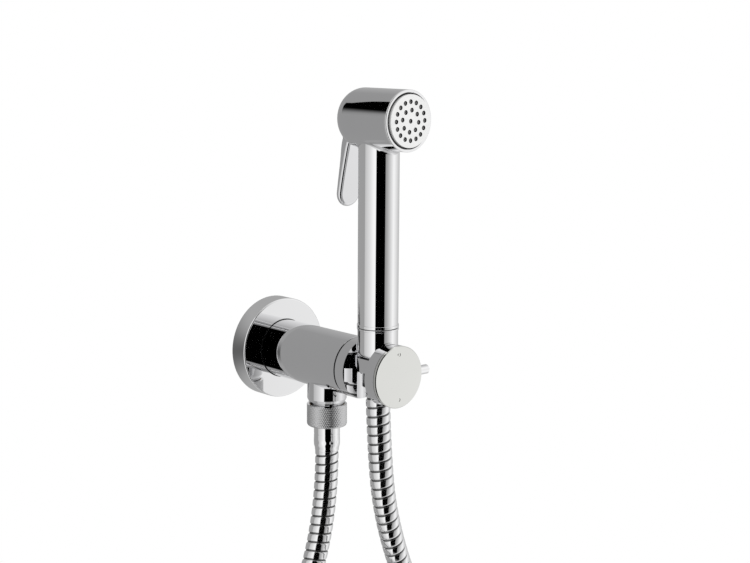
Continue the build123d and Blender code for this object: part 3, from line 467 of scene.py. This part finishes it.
class Finish(Enum):
    """Finishes of this mixer."""

    TUBE_CHROME = Chrome("Tube chrome", (0.92, 0.92, 0.925))
    CAST_CHROME = Chrome("Cast chrome", (0.80, 0.80, 0.81), 0.02, 0.035, 0.02)
    FRONT_CHROME = Chrome("Front disc chrome", (0.80, 0.803, 0.775), 0.02, 0.035, 0.02)
    HOSE_CHROME = Chrome("Hose chrome", (0.9, 0.9, 0.905), 0.06, 0.1, 0.03)
    # Painted shade in the hose's grooves: a dark chrome on the groove faces.
    HOSE_GROOVE_SHADE = Chrome("Hose groove painted shade", (0.17, 0.17, 0.17), 0.2, 0.3, 0.03)
    KNURL_CHROME = Chrome("Knurl chrome", (0.65, 0.65, 0.655), 0.08, 0.13, 0.02)
    BRASS = TurnedMetal("Brass", (0.75, 0.52, 0.22), (0.6, 0.4, 0.16))
    STEEL = TurnedMetal("Stainless steel", (0.56, 0.56, 0.57), (0.45, 0.45, 0.46))
    BLACK_RUBBER = Moulded("Black rubber", (0.012, 0.012, 0.013), (0.022, 0.022, 0.024), 0.55, 0.75)
    BLACK_PLASTIC = Moulded("Black plastic", (0.008, 0.008, 0.009), (0.014, 0.014, 0.015), 0.3, 0.45)
    INNER_PLASTIC = Moulded("Inner plastic", (0.5, 0.52, 0.54), (0.42, 0.44, 0.47), 0.35, 0.5)
    CERAMIC = Moulded("Ceramic", (0.82, 0.81, 0.78), (0.74, 0.73, 0.7), 0.12, 0.2)
    # Both spray finishes paint shade into their holes, gaps and the plate's rim.
    SPRAY_WHITE = SprayFace("Spray plate white", (0.9, 0.9, 0.895), 122.3, 0.05, 2.4, 0.28)
    SILICONE = SprayFace("Nozzle silicone", (0.24, 0.24, 0.24), 121.8, 0.25, 0.25, 0.4)


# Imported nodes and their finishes
NODE_FINISHES: dict[Finish, tuple[str, ...]] = {
    Finish.TUBE_CHROME: ("wall_flange", "outlet_ferrule", "handset_ferrule", "handset_nut", "handset_tube",
                         "face_ring", "lever_pin"),
    Finish.CAST_CHROME: ("mixer_body", "mixer_handle", "head_shell", "trigger_lever"),
    Finish.FRONT_CHROME: ("handle_cap",),
    Finish.KNURL_CHROME: ("hose_nut",),
    Finish.HOSE_CHROME: ("hose_drop", "hose_coil", "hose_rise"),
    Finish.BRASS: ("cartridge_retainer", "outlet_nipple", "handset_inlet"),
    Finish.STEEL: ("lock_screw", "handle_screw", "valve_spring", "pivot_pin", "inlet_filters"),
    Finish.BLACK_RUBBER: ("wall_gasket", "cartridge_base_seal", "cartridge_seals", "stem_seal", "hose_washer",
                          "handset_washer", "water_tube_seals", "rod_seal", "seat_washer"),
    Finish.BLACK_PLASTIC: ("flange_seal", "glide_ring", "trim_ring", "face_seal", "hose_tie", "seat_liner"),
    Finish.SPRAY_WHITE: ("spray_plate",),
    Finish.SILICONE: ("nozzle_mat",),
    Finish.INNER_PLASTIC: ("cartridge_housing", "cartridge_stem", "check_valves", "water_tube",
                           "water_distributor", "valve_housing", "valve_plunger"),
    Finish.CERAMIC: ("ceramic_disc_fixed", "ceramic_disc_turning"),
}


class Wardrobe:
    """Makes each finish once and dresses pieces in it."""

    def __init__(self) -> None:
        """Start with the shared effects and no materials."""
        self.shelf = EffectShelf()
        self.made: dict[Finish, bpy.types.Material] = {}

    def material(self, finish: Finish) -> bpy.types.Material:
        """The material of a finish, made on its first use."""
        if finish not in self.made:
            self.made[finish] = finish.value.make(self.shelf)
        return self.made[finish]

    def dress(self, piece: bpy.types.Object, *finishes: Finish) -> None:
        """Give a piece its finish, or the finishes of its first and second faces."""
        marks = [face.material_index for face in piece.data.polygons] if len(finishes) > 1 else []
        piece.data.materials.clear()
        for finish in finishes:
            piece.data.materials.append(self.material(finish))
        if marks:
            piece.data.polygons.foreach_set("material_index", marks)

    def dress_frame(self) -> None:
        """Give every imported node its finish."""
        for finish, names in NODE_FINISHES.items():
            for name in names:
                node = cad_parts[name]
                self.dress(node, finish)
                log.info("dressed %s in %s", name, finish.value.name)


# Mesh tools

def new_piece(name: str, vertices: Sequence[tuple], faces: Sequence[tuple], clean: bool = False,
              second: Sequence[int] = ()) -> bpy.types.Object:
    """Make a smooth-shaded mesh object.

    Args:
        name: The piece's name.
        vertices: Corners in metres.
        faces: Corner numbers of each face.
        clean: True merges doubled corners and drops faces without area.
        second: Numbers of the faces that take the piece's second finish.

    Returns:
        The object, linked to the scene.
    """
    mesh = bpy.data.meshes.new(name)
    mesh.from_pydata([tuple(vertex) for vertex in vertices], [], faces)
    for number in second:
        mesh.polygons[number].material_index = 1
    work = bmesh.new()
    work.from_mesh(mesh)
    if clean:
        bmesh.ops.remove_doubles(work, verts=work.verts, dist=DOUBLED)
        bmesh.ops.dissolve_degenerate(work, edges=work.edges, dist=NO_AREA)
    bmesh.ops.recalc_face_normals(work, faces=work.faces)
    work.to_mesh(mesh)
    work.free()
    mesh.shade_smooth()
    mesh.set_sharp_from_angle(angle=SHARP_ANGLE)
    piece = bpy.data.objects.new(name, mesh)
    bpy.context.scene.collection.objects.link(piece)
    return piece


def turned(name: str, outline: Sequence[Point], reach: float, segments: int,
           relief: Callable[[float, float, float], float]) -> bpy.types.Object:
    """Turn a closed outline round an upright axis.

    Args:
        name: The piece's name.
        outline: The outline as (radius, height), in millimetres.
        reach: The axis's distance from the wall, in millimetres.
        segments: Steps round the axis.
        relief: Extra radius, in millimetres, at a radius, height and angle.

    Returns:
        The turned piece.
    """
    vertices = []
    for radius, height in outline:
        for step in range(segments):
            angle = 2 * math.pi * step / segments
            length = radius + relief(radius, height, angle)
            across, away = length * math.cos(angle), length * math.sin(angle)
            vertices.append((across * MM, (away - reach) * MM, height * MM))
    faces = []
    for row in range(len(outline)):
        here = row * segments
        there = (row + 1) % len(outline) * segments
        for step in range(segments):
            ahead = (step + 1) % segments
            faces.append((here + step, here + ahead, there + ahead, there + step))
    return new_piece(name, vertices, faces, clean=True)


# Hose

@dataclass
class Hose:
    """The one metal hose from the outlet to the handset, with its spare length in a tied coil."""

    radius: float = 7.0
    valley: float = 6.3
    bore: float = 4.6
    pitch: float = 5.4
    real_length: float = 1.2
    outlet_reach: float = 52.45
    ferrule_end: float = -55.6
    seat_reach: float = 97.0
    hose_top: float = 12.4
    coil_radius: float = 76.0
    coil_centre: float = -245.0
    coil_pitch: float = 16.0
    coil_start_reach: float = 63.0
    coil_steps: int = 21
    round_steps: int = 36
    bore_steps: int = 200
    path_steps: int = 400
    # Rows of each rib that take the painted groove shade.
    shaded_rows: tuple[int, ...] = (0, 1, 8)

    def drop_route(self) -> list[tuple[float, float, float]]:
        """Points of the route from the outlet down to the coil, in millimetres."""
        return [(0, -self.outlet_reach, self.ferrule_end), (0, -self.outlet_reach, -112.0)]

    def rise_route(self) -> list[tuple[float, float, float]]:
        """Points of the route from the handset down to the coil, in millimetres."""
        return [(0, -self.seat_reach, self.hose_top), (0, -self.seat_reach, -30.0),
                (8.0, -self.seat_reach, -100.0)]

    def touch_angle(self, x: float, z: float) -> float:
        """Angle from upright of the line from (x, z) that touches the coil on its +X side."""
        away = math.hypot(x, z - self.coil_centre)
        return math.degrees(math.asin(self.coil_radius / away) - math.atan2(x, z - self.coil_centre))

    def route(self) -> list[Vector]:
        """Control points of the hose's line.

        Returns:
            The drop, the coil's turns and the rise, in metres.
        """
        drop = self.drop_route()
        rise = self.rise_route()
        start = 180 - self.touch_angle(-drop[-1][0], drop[-1][2])
        end = 720 + self.touch_angle(rise[-1][0], rise[-1][2])
        step = (end - start) / self.coil_steps
        outer = self.coil_radius / math.cos(math.radians(step / 2))
        turns = []
        for index in range(self.coil_steps):
            angle = start + (index + 0.5) * step
            turn = math.radians(angle)
            reach = self.coil_start_reach + self.coil_pitch * (angle - start) / 360
            turns.append((outer * math.cos(turn), -reach, self.coil_centre + outer * math.sin(turn)))
        turns.insert(0, self.approach(turns[0], turns[1], drop[-1]))
        turns.append(self.approach(turns[-1], turns[-2], rise[-1]))
        return [Vector(point) * MM for point in drop + turns + rise[::-1]]

    def approach(self, corner: tuple, inward: tuple, outward: tuple) -> tuple:
        """Point on the long run beside the coil, as far from its corner as the coil's next point is."""
        near, run = Vector(corner), Vector(outward) - Vector(corner)
        return tuple(near + run.normalized() * (Vector(inward) - near).length)

    def centre_line(self) -> list[Vector]:
        """Points of the smooth line through the route.

        Returns:
            Points a tenth of a rib apart, in metres.
        """
        curve = bpy.data.curves.new("hose_line", "CURVE")
        curve.dimensions = "3D"
        curve.resolution_u = 24
        spline = curve.splines.new("NURBS")
        route = self.route()
        spline.points.add(len(route) - 1)
        for point, place in zip(spline.points, route):
            point.co = (*place, 1.0)
        spline.order_u = 3
        spline.use_endpoint_u = True
        holder = bpy.data.objects.new("hose_line", curve)
        mesh = bpy.data.meshes.new_from_object(holder)
        line = [vertex.co.copy() for vertex in mesh.vertices]
        bpy.data.objects.remove(holder)
        bpy.data.meshes.remove(mesh)
        return line

    def rib_rows(self) -> list[tuple[float, float]]:
        """One rib of the strip-wound hose: shares of the pitch and radii in millimetres."""
        low, high = self.valley, self.radius
        return [(0.0, low), (0.11, low), (0.15, high - 0.25), (0.22, high - 0.05), (0.34, high),
                (0.62, high), (0.82, high - 0.03), (0.93, high - 0.18), (0.965, low + 0.1)]

    def wall_rows(self, length: float) -> tuple[list[tuple[float, float, float]], int]:
        """Rows of the hose's wall: the wound outside, then the bore back to the start.

        Args:
            length: The line's length in metres.

        Returns:
            Each row's start and climb in a turn (metres) and radius (millimetres), and how many are wound.
        """
        pitch = self.pitch * MM
        turns = int(length / pitch) + 3
        rows = [((turn + share) * pitch - pitch, pitch, radius)
                for turn in range(turns) for share, radius in self.rib_rows()]
        wound = len(rows)
        rows += [(length * (1 - step / self.bore_steps), 0.0, self.bore)
                 for step in range(self.bore_steps + 1)]
        return rows, wound

    def wall_points(self, line: "Track", rows: Sequence[tuple[float, float, float]]) -> list[Vector]:
        """Corners of the wall, row by row."""
        points = []
        for start, climb, radius in rows:
            for step in range(self.round_steps):
                share = step / self.round_steps
                along = min(max(start + share * climb, 0.0), line.length)
                points.append(line.around(along, 2 * math.pi * share, radius * MM))
        return points

    def wall_faces(self, rows: int, wound: int) -> tuple[list[tuple[int, ...]], list[int]]:
        """Faces of the wall, where each wound row's end joins the same row of the next rib.

        Args:
            rows: How many rows there are.
            wound: How many of them are wound.

        Returns:
            The faces, and the numbers of those in the grooves, which take the painted groove shade.
        """
        in_rib = len(self.rib_rows())
        last = self.round_steps - 1
        faces: list[tuple[int, ...]] = []
        shaded: list[int] = []
        for row in range(rows):
            # Groove rows take the second finish, painted shade in the hose's grooves.
            if row < wound and row % in_rib in self.shaded_rows:
                shaded += range(len(faces), len(faces) + self.round_steps)
            here = row * self.round_steps
            there = (row + 1) % rows * self.round_steps
            faces += [(here + step, here + step + 1, there + step + 1, there + step) for step in range(last)]
            turn_on = in_rib * self.round_steps if row + 1 + in_rib < wound else 0
            faces.append((here + last, here + turn_on, there + turn_on, there + last))
        return faces, shaded

    def build(self, wardrobe: Wardrobe) -> None:
        """Args:
            wardrobe: The finishes.
        """
        line = Track(self.centre_line())
        rows, wound = self.wall_rows(line.length)
        vertices = self.wall_points(line, rows)
        faces, shaded = self.wall_faces(len(rows), wound)
        piece = new_piece("shower_hose", vertices, faces, clean=True, second=shaded)
        wardrobe.dress(piece, Finish.HOSE_CHROME, Finish.HOSE_GROOVE_SHADE)
        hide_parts("hose_drop", "hose_coil", "hose_rise")
        path = [line.at(line.length * index / self.path_steps)[0] for index in range(self.path_steps + 1)]
        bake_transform(piece)
        log.info("hose: %d corners, %.1f mm long", len(vertices), line.length / MM)


class Track:
    """A line with a steady frame carried along it."""

    def __init__(self, points: Sequence[Vector]) -> None:
        """Measure the line and carry a side direction along it.

        Args:
            points: The line's points in metres.
        """
        self.points = list(points)
        self.ways: list[Vector] = []
        last = len(points) - 1
        for index in range(last + 1):
            self.ways.append((points[min(index + 1, last)] - points[max(index - 1, 0)]).normalized())
        self.reached = [0.0]
        for near, far in zip(points, points[1:]):
            self.reached.append(self.reached[-1] + (far - near).length)
        self.length = self.reached[-1]
        side = Vector((1, 0, 0))
        self.sides: list[Vector] = []
        for way in self.ways:
            side = (side - way * side.dot(way)).normalized()
            self.sides.append(side)
        self.last = 0

    def at(self, along: float) -> tuple[Vector, Vector, Vector]:
        """Place, direction and side direction at a distance along the line."""
        if along < self.reached[self.last]:
            self.last = 0
        while self.last < len(self.reached) - 2 and self.reached[self.last + 1] < along:
            self.last += 1
        index = self.last
        span = self.reached[index + 1] - self.reached[index]
        share = (along - self.reached[index]) / span
        place = self.points[index].lerp(self.points[index + 1], share)
        way = self.ways[index].lerp(self.ways[index + 1], share).normalized()
        side = self.sides[index].lerp(self.sides[index + 1], share)
        return place, way, (side - way * side.dot(way)).normalized()

    def around(self, along: float, angle: float, radius: float) -> Vector:
        """Point beside the line, turned right-handed about its direction."""
        place, way, side = self.at(along)
        return place + (side * math.cos(angle) + way.cross(side) * math.sin(angle)) * radius


# Outlet fittings

@dataclass
class OutletFittings:
    """Knurled nut and crimped ferrule that join the hose to the outlet."""

    reach: float = 52.45
    nut_radius: float = 12.0
    nut_top: float = -27.0
    nut_bottom: float = -40.2
    nut_round: float = 1.5
    nut_edge: float = 0.3
    top_bore: float = 10.6
    top_bore_depth: float = 1.0
    thread_bore: float = 10.38
    collar_top: float = -38.4
    collar_bore: float = 8.15
    knurls: int = 68
    knurl_height: float = 1.12
    knurl_depth: float = 0.22
    knurl_steps: int = 4
    ferrule_radius: float = 7.75
    ferrule_bore: float = 5.0
    ferrule_top: float = -36.8
    ferrule_end: float = -55.6
    ferrule_segments: int = 144
    ferrule_rows: int = 44
    flange_radius: float = 10.0
    mouth_radius: float = 7.15
    mouth_length: float = 0.8
    mouth_bevel: float = 0.2
    mouth_bevel_height: float = 0.25
    plain_length: float = 2.0
    narrow_from: float = -51.6
    crimp_height: float = -49.7
    crimp_half: float = 1.4
    crimp_swell: float = 0.1
    groove_height: float = -45.5
    groove_depth: float = 0.1
    groove_half: float = 0.35
    dimples: int = 11
    dimple_depth: float = 0.2
    dimple_size: float = 0.85
    dimple_turn: float = 19.1

    def knurl(self, radius: float, place: float, angle: float) -> float:
        """Height of the diamond knurl at a place on the nut's outside."""
        if radius < self.nut_radius - self.nut_round or place > self.nut_top - self.nut_edge:
            return 0.0
        across = angle * self.knurls / (2 * math.pi)
        along = (place - self.nut_bottom - self.nut_round) / self.knurl_height
        left, right = (across + along / 2) % 1.0, (across - along / 2) % 1.0
        ridge = min(1 - abs(2 * left - 1), 1 - abs(2 * right - 1))
        return self.knurl_depth * (ridge - 1.0)

    def nut_outline(self) -> list[Point]:
        """Closed outline of the nut: knurled outside in quarter knurls, rounded edges, stepped bore."""
        step = self.knurl_height / self.knurl_steps
        outside: list[Point] = [(self.nut_radius - self.nut_edge, self.nut_top),
                                (self.nut_radius - 0.3 * self.nut_edge, self.nut_top - 0.3 * self.nut_edge),
                                (self.nut_radius, self.nut_top - self.nut_edge - 0.01)]
        start = self.nut_bottom + self.nut_round
        count = int((self.nut_top - self.nut_edge - start) / step)
        outside += [(self.nut_radius, start + row * step) for row in range(count, 0, -1)]
        for turn in range(0, 91, 15):
            angle = math.radians(turn)
            outside.append((self.nut_radius - self.nut_round * (1 - math.cos(angle)),
                            start - self.nut_round * math.sin(angle)))
        inside = [(self.collar_bore, self.nut_bottom), (self.collar_bore, self.collar_top),
                  (self.thread_bore, self.collar_top), (self.thread_bore, self.nut_top - self.top_bore_depth),
                  (self.top_bore, self.nut_top - self.top_bore_depth), (self.top_bore, self.nut_top)]
        return outside + inside

    def crimp(self, radius: float, place: float, angle: float) -> float:
        """Swell, groove and dimples left by the crimping tool on the ferrule."""
        if radius < self.mouth_radius - 0.01 or radius > self.ferrule_radius + 0.01:
            return 0.0
        swell = self.crimp_swell * math.exp(-((place - self.crimp_height) / self.crimp_half) ** 2)
        groove = self.groove_depth * math.exp(-((place - self.groove_height) / self.groove_half) ** 2)
        spacing = 2 * math.pi / self.dimples
        nearest = (angle - math.radians(self.dimple_turn) + spacing / 2) % spacing - spacing / 2
        away = math.hypot(nearest * self.ferrule_radius, place - self.crimp_height) / self.dimple_size
        return swell - groove - self.dimple_depth * math.exp(-away ** 2)

    def ferrule_outline(self) -> list[Point]:
        """Closed outline of the ferrule: flange, body that narrows to the hose, bore."""
        outline = [(self.ferrule_bore, self.ferrule_top), (self.flange_radius, self.ferrule_top),
                   (self.flange_radius, self.collar_top), (self.ferrule_radius, self.collar_top),
                   (self.ferrule_radius, self.nut_bottom)]
        high, low = self.nut_bottom - self.plain_length, self.ferrule_end + self.mouth_length
        for step in range(self.ferrule_rows + 1):
            place = high + (low - high) * step / self.ferrule_rows
            fall = min(max((self.narrow_from - place) / (self.narrow_from - low), 0.0), 1.0)
            ease = fall * fall * (3 - 2 * fall)
            outline.append((self.ferrule_radius + (self.mouth_radius - self.ferrule_radius) * ease, place))
        return outline + [(self.mouth_radius, self.ferrule_end + self.mouth_bevel_height),
                          (self.mouth_radius - self.mouth_bevel, self.ferrule_end),
                          (self.ferrule_bore, self.ferrule_end)]

    def build(self, wardrobe: Wardrobe) -> None:
        """Build both fittings in place of their plain nodes.

        Args:
            wardrobe: The finishes.
        """
        nut = turned("knurled_nut", self.nut_outline(), self.reach, self.knurls * self.knurl_steps,
                     self.knurl)
        ferrule = turned("crimped_ferrule", self.ferrule_outline(), self.reach, self.ferrule_segments,
                         self.crimp)
        for piece, node, finish in ((nut, "hose_nut", Finish.KNURL_CHROME),
                                    (ferrule, "outlet_ferrule", Finish.TUBE_CHROME)):
            wardrobe.dress(piece, finish)
            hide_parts(node)
            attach(piece, "root")
            log.info("%s: %d corners", piece.name, len(piece.data.vertices))


# Studio

@dataclass
class Studio:
    """Camera, soft light, pale floor and the bright surroundings that the chrome mirrors."""

    eye: tuple[float, float, float] = (-0.5616, -0.7144, 0.1956)
    look_at: tuple[float, float, float] = (0.0, -0.04705, 0.042)
    photo_width: float = 750.0
    photo_height: float = 563.0
    focal_pixels: float = 1500.83
    centre_column: float = 321.11
    centre_row: float = 287.65
    sensor: float = 36.0
    floor_height: float = -0.42
    floor_size: float = 0.8
    floor_mottle: float = 40.0
    card_reach: float = 50.0
    head_card: tuple[Point, ...] = ((-52, 330), (-58, 290), (-76, 260), (-70, 214), (-100, 168), (-168, 190),
                                    (-200, 300))
    head_tilt: float = 0.48
    shadow_reach: float = 1.5
    shadow_radii: Point = (30.8, 44.0)
    shadow_steps: int = 48
    overhead_from: float = 0.8
    beneath_from: float = 0.78
    pole_edge: float = 0.2
    overhead: Colour = (0.8, 0.8, 0.8)
    beneath: Colour = (0.6, 0.6, 0.6)
    plain: Colour = (0.75, 0.75, 0.75)
    backdrop: Colour = (1.0, 1.0, 1.0)
    surroundings: tuple[Point, ...] = ((-180, 0.80), (-160, 1.0), (-148, 1.0), (-147, 0.0), (-95, 0.0),
                                       (-94, 0.32), (-84, 0.40), (-40, 1.0), (5, 0.63), (71, 0.36),
                                       (145, 0.35), (146, 0.56), (180, 0.80))
    lamp_size: float = 0.9
    lamp_places: tuple[tuple[str, float, tuple[float, float, float]], ...] = (
        ("key", 9.0, (-0.9, -1.1, 1.4)), ("fill", 4.0, (1.2, -0.9, 0.6)))

    def camera(self) -> None:
        """Place the camera at the photograph's view."""
        data = bpy.data.cameras.new("photo_camera")
        data.sensor_width = self.sensor
        data.lens = self.focal_pixels * self.sensor / self.photo_width
        data.shift_x = (self.photo_width / 2 - self.centre_column) / self.photo_width
        data.shift_y = (self.centre_row - self.photo_height / 2) / self.photo_width
        data.clip_start = 0.01
        holder = bpy.data.objects.new("photo_camera", data)
        bpy.context.scene.collection.objects.link(holder)
        holder.location = self.eye
        way = Vector(self.look_at) - Vector(self.eye)
        holder.rotation_euler = way.to_track_quat("-Z", "Y").to_euler()
        bpy.context.scene.camera = holder

    def world(self) -> None:
        """Surroundings: white for the camera, plain light for dull surfaces, studio cards for mirrors."""
        world = bpy.data.worlds.new("studio")
        bpy.context.scene.world = world
        world.use_nodes = True
        sheet = NodeSheet(world.node_tree)
        background = world.node_tree.nodes["Background"]
        way = sheet.add("ShaderNodeTexCoord").outputs["Generated"]
        parts = sheet.add("ShaderNodeSeparateXYZ")
        sheet.join(way, parts.inputs[0])
        turn = sheet.math("ARCTAN2", parts.outputs["Y"], parts.outputs["X"])
        share = sheet.math("MULTIPLY_ADD", turn, 0.5 / math.pi, 0.5)
        ramp = sheet.add("ShaderNodeValToRGB")
        sheet.join(share, ramp.inputs[0])
        stops = self.card_stops()
        elements = ramp.color_ramp.elements
        while len(elements) < len(stops):
            elements.new(0.5)
        for element, (place, level) in zip(elements, stops):
            element.position = place
            element.color = (level, level, level, 1.0)
        upward = sheet.math("MULTIPLY_ADD", parts.outputs["Z"], 1 / self.pole_edge,
                            -self.overhead_from / self.pole_edge, clamp=True)
        downward = sheet.math("MULTIPLY_ADD", parts.outputs["Z"], -1 / self.pole_edge,
                              -self.beneath_from / self.pole_edge, clamp=True)
        mirrored = sheet.mix(upward, ramp.outputs[0], self.overhead)
        mirrored = sheet.mix(downward, mirrored, self.beneath)
        path = sheet.add("ShaderNodeLightPath")
        seen = sheet.math("ADD", path.outputs["Is Glossy Ray"], path.outputs["Is Transmission Ray"],
                          clamp=True)
        plain = sheet.mix(seen, self.plain, mirrored)
        sheet.join(sheet.mix(path.outputs["Is Camera Ray"], plain, self.backdrop), background.inputs["Color"])
        background.inputs["Strength"].default_value = 1.0

    def card_stops(self) -> list[tuple[float, float]]:
        """Brightness of the surroundings by compass angle.

        Returns:
            Stops of a colour ramp: share of a turn from -X, and brightness.
        """
        return [(angle / 360 + 0.5, level) for angle, level in self.surroundings]

    def glossy_card(self, name: str, corners: Sequence[tuple], faces: Sequence[tuple], across: Shade,
                    dark_at: float, pale_at: float, dark: float, pale: float, tilt: float = 0.0) -> None:
        """Glowing card that only mirrors see, darker on one side.

        Args:
            name: Its name.
            corners: Corners in millimetres.
            faces: Corner numbers of its faces.
            across: What its level follows.
            dark_at: Height, in millimetres, where it is darkest.
            pale_at: Height where it is palest.
            dark: Darkest level.
            pale: Palest level.
            tilt: Extra height per millimetre along X, for Shade.HEIGHT.
        """
        card = new_piece(name, [tuple(part * MM for part in corner) for corner in corners], faces)
        material, sheet, shader = blank_material(name)
        shader.inputs["Base Color"].default_value = (0.0, 0.0, 0.0, 1.0)
        shader.inputs["Specular IOR Level"].default_value = 0.0
        shader.inputs["Emission Strength"].default_value = 1.0
        place = sheet.add("ShaderNodeTexCoord").outputs["Object"]
        parts = sheet.add("ShaderNodeSeparateXYZ")
        sheet.join(place, parts.inputs[0])
        if across is Shade.HEIGHT:
            value = sheet.math("MULTIPLY_ADD", parts.outputs["X"], tilt, parts.outputs["Z"])
        else:
            value = sheet.math("ABSOLUTE", parts.outputs["Z"])
        span = sheet.add("ShaderNodeMapRange", interpolation_type="SMOOTHSTEP")
        sheet.join(value, span.inputs["Value"])
        span.inputs["From Min"].default_value = dark_at * MM
        span.inputs["From Max"].default_value = pale_at * MM
        sheet.join(sheet.mix(span.outputs["Result"], (dark, dark, dark), (pale, pale, pale)),
                   shader.inputs["Emission Color"])
        card.data.materials.append(material)
        for ray in ("camera", "diffuse", "shadow", "transmission"):
            setattr(card, f"visible_{ray}", False)

    def cards(self) -> None:
        """Dark card behind the head and the wall's own shadow beside the flange."""
        corners = [(x, self.card_reach, z) for x, z in self.head_card]
        self.glossy_card("head_card", corners, [tuple(range(len(corners)))], Shade.HEIGHT, dark_at=178.2,
                         pale_at=118.2, dark=0.0, pale=0.33, tilt=self.head_tilt)
        steps = self.shadow_steps
        ring = []
        for radius in self.shadow_radii:
            for step in range(steps):
                angle = 2 * math.pi * step / steps
                ring.append((radius * math.cos(angle), self.shadow_reach, radius * math.sin(angle)))
        faces = [(step, (step + 1) % steps, steps + (step + 1) % steps, steps + step)
                 for step in range(steps)]
        self.glossy_card("wall_shadow", ring, faces, Shade.FROM_MIDDLE, dark_at=0.0, pale_at=30.0, dark=0.12,
                         pale=0.4)

    def floor(self) -> None:
        """Pale floor below the hanging coil."""
        half, height = self.floor_size / 2, self.floor_height
        corners = [(-half, -half, height), (half, -half, height), (half, half, height), (-half, half, height)]
        floor = new_piece("studio_floor", corners, [(0, 1, 2, 3)])
        material, sheet, shader = blank_material("Pale floor")
        noise = sheet.add("ShaderNodeTexNoise")
        noise.inputs["Scale"].default_value = self.floor_mottle
        sheet.join(sheet.mix(noise.outputs["Fac"], (0.9, 0.9, 0.9), (0.94, 0.94, 0.935)),
                   shader.inputs["Base Color"])
        shader.inputs["Roughness"].default_value = 0.8
        floor.data.materials.append(material)
        floor.visible_glossy = False

    def lamps(self) -> None:
        """Soft key and fill lamps, which the chrome doesn't mirror."""
        for name, power, place in self.lamp_places:
            data = bpy.data.lights.new(name, "AREA")
            data.size = self.lamp_size
            data.energy = power
            lamp = bpy.data.objects.new(name, data)
            bpy.context.scene.collection.objects.link(lamp)
            lamp.location = place
            way = Vector(self.look_at) - Vector(place)
            lamp.rotation_euler = way.to_track_quat("-Z", "Y").to_euler()
            lamp.visible_glossy = False

    def build(self) -> None:
        """Set up the whole studio."""
        bpy.context.scene.view_settings.view_transform = "Standard"
        self.camera()
        self.world()
        self.cards()
        self.floor()
        self.lamps()
        log.info("studio ready")


def join_spring(wardrobe: Wardrobe) -> None:
    """Copy the valve's spring into a piece of its own, dressed in steel, in place of its node.

    Args:
        wardrobe: The finishes.
    """
    piece = bpy.data.objects.new("closing_spring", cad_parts["valve_spring"].data.copy())
    bpy.context.scene.collection.objects.link(piece)
    wardrobe.dress(piece, Finish.STEEL)
    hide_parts("valve_spring")
    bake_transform(piece)


def main() -> None:
    """Build the studio, dress the frame and build every piece."""
    logging.basicConfig(level=logging.INFO, format="%(name)s: %(message)s")
    Studio().build()
    wardrobe = Wardrobe()
    wardrobe.dress_frame()
    Hose().build(wardrobe)
    OutletFittings().build(wardrobe)
    join_spring(wardrobe)


if __name__ == "__main__":
    main()
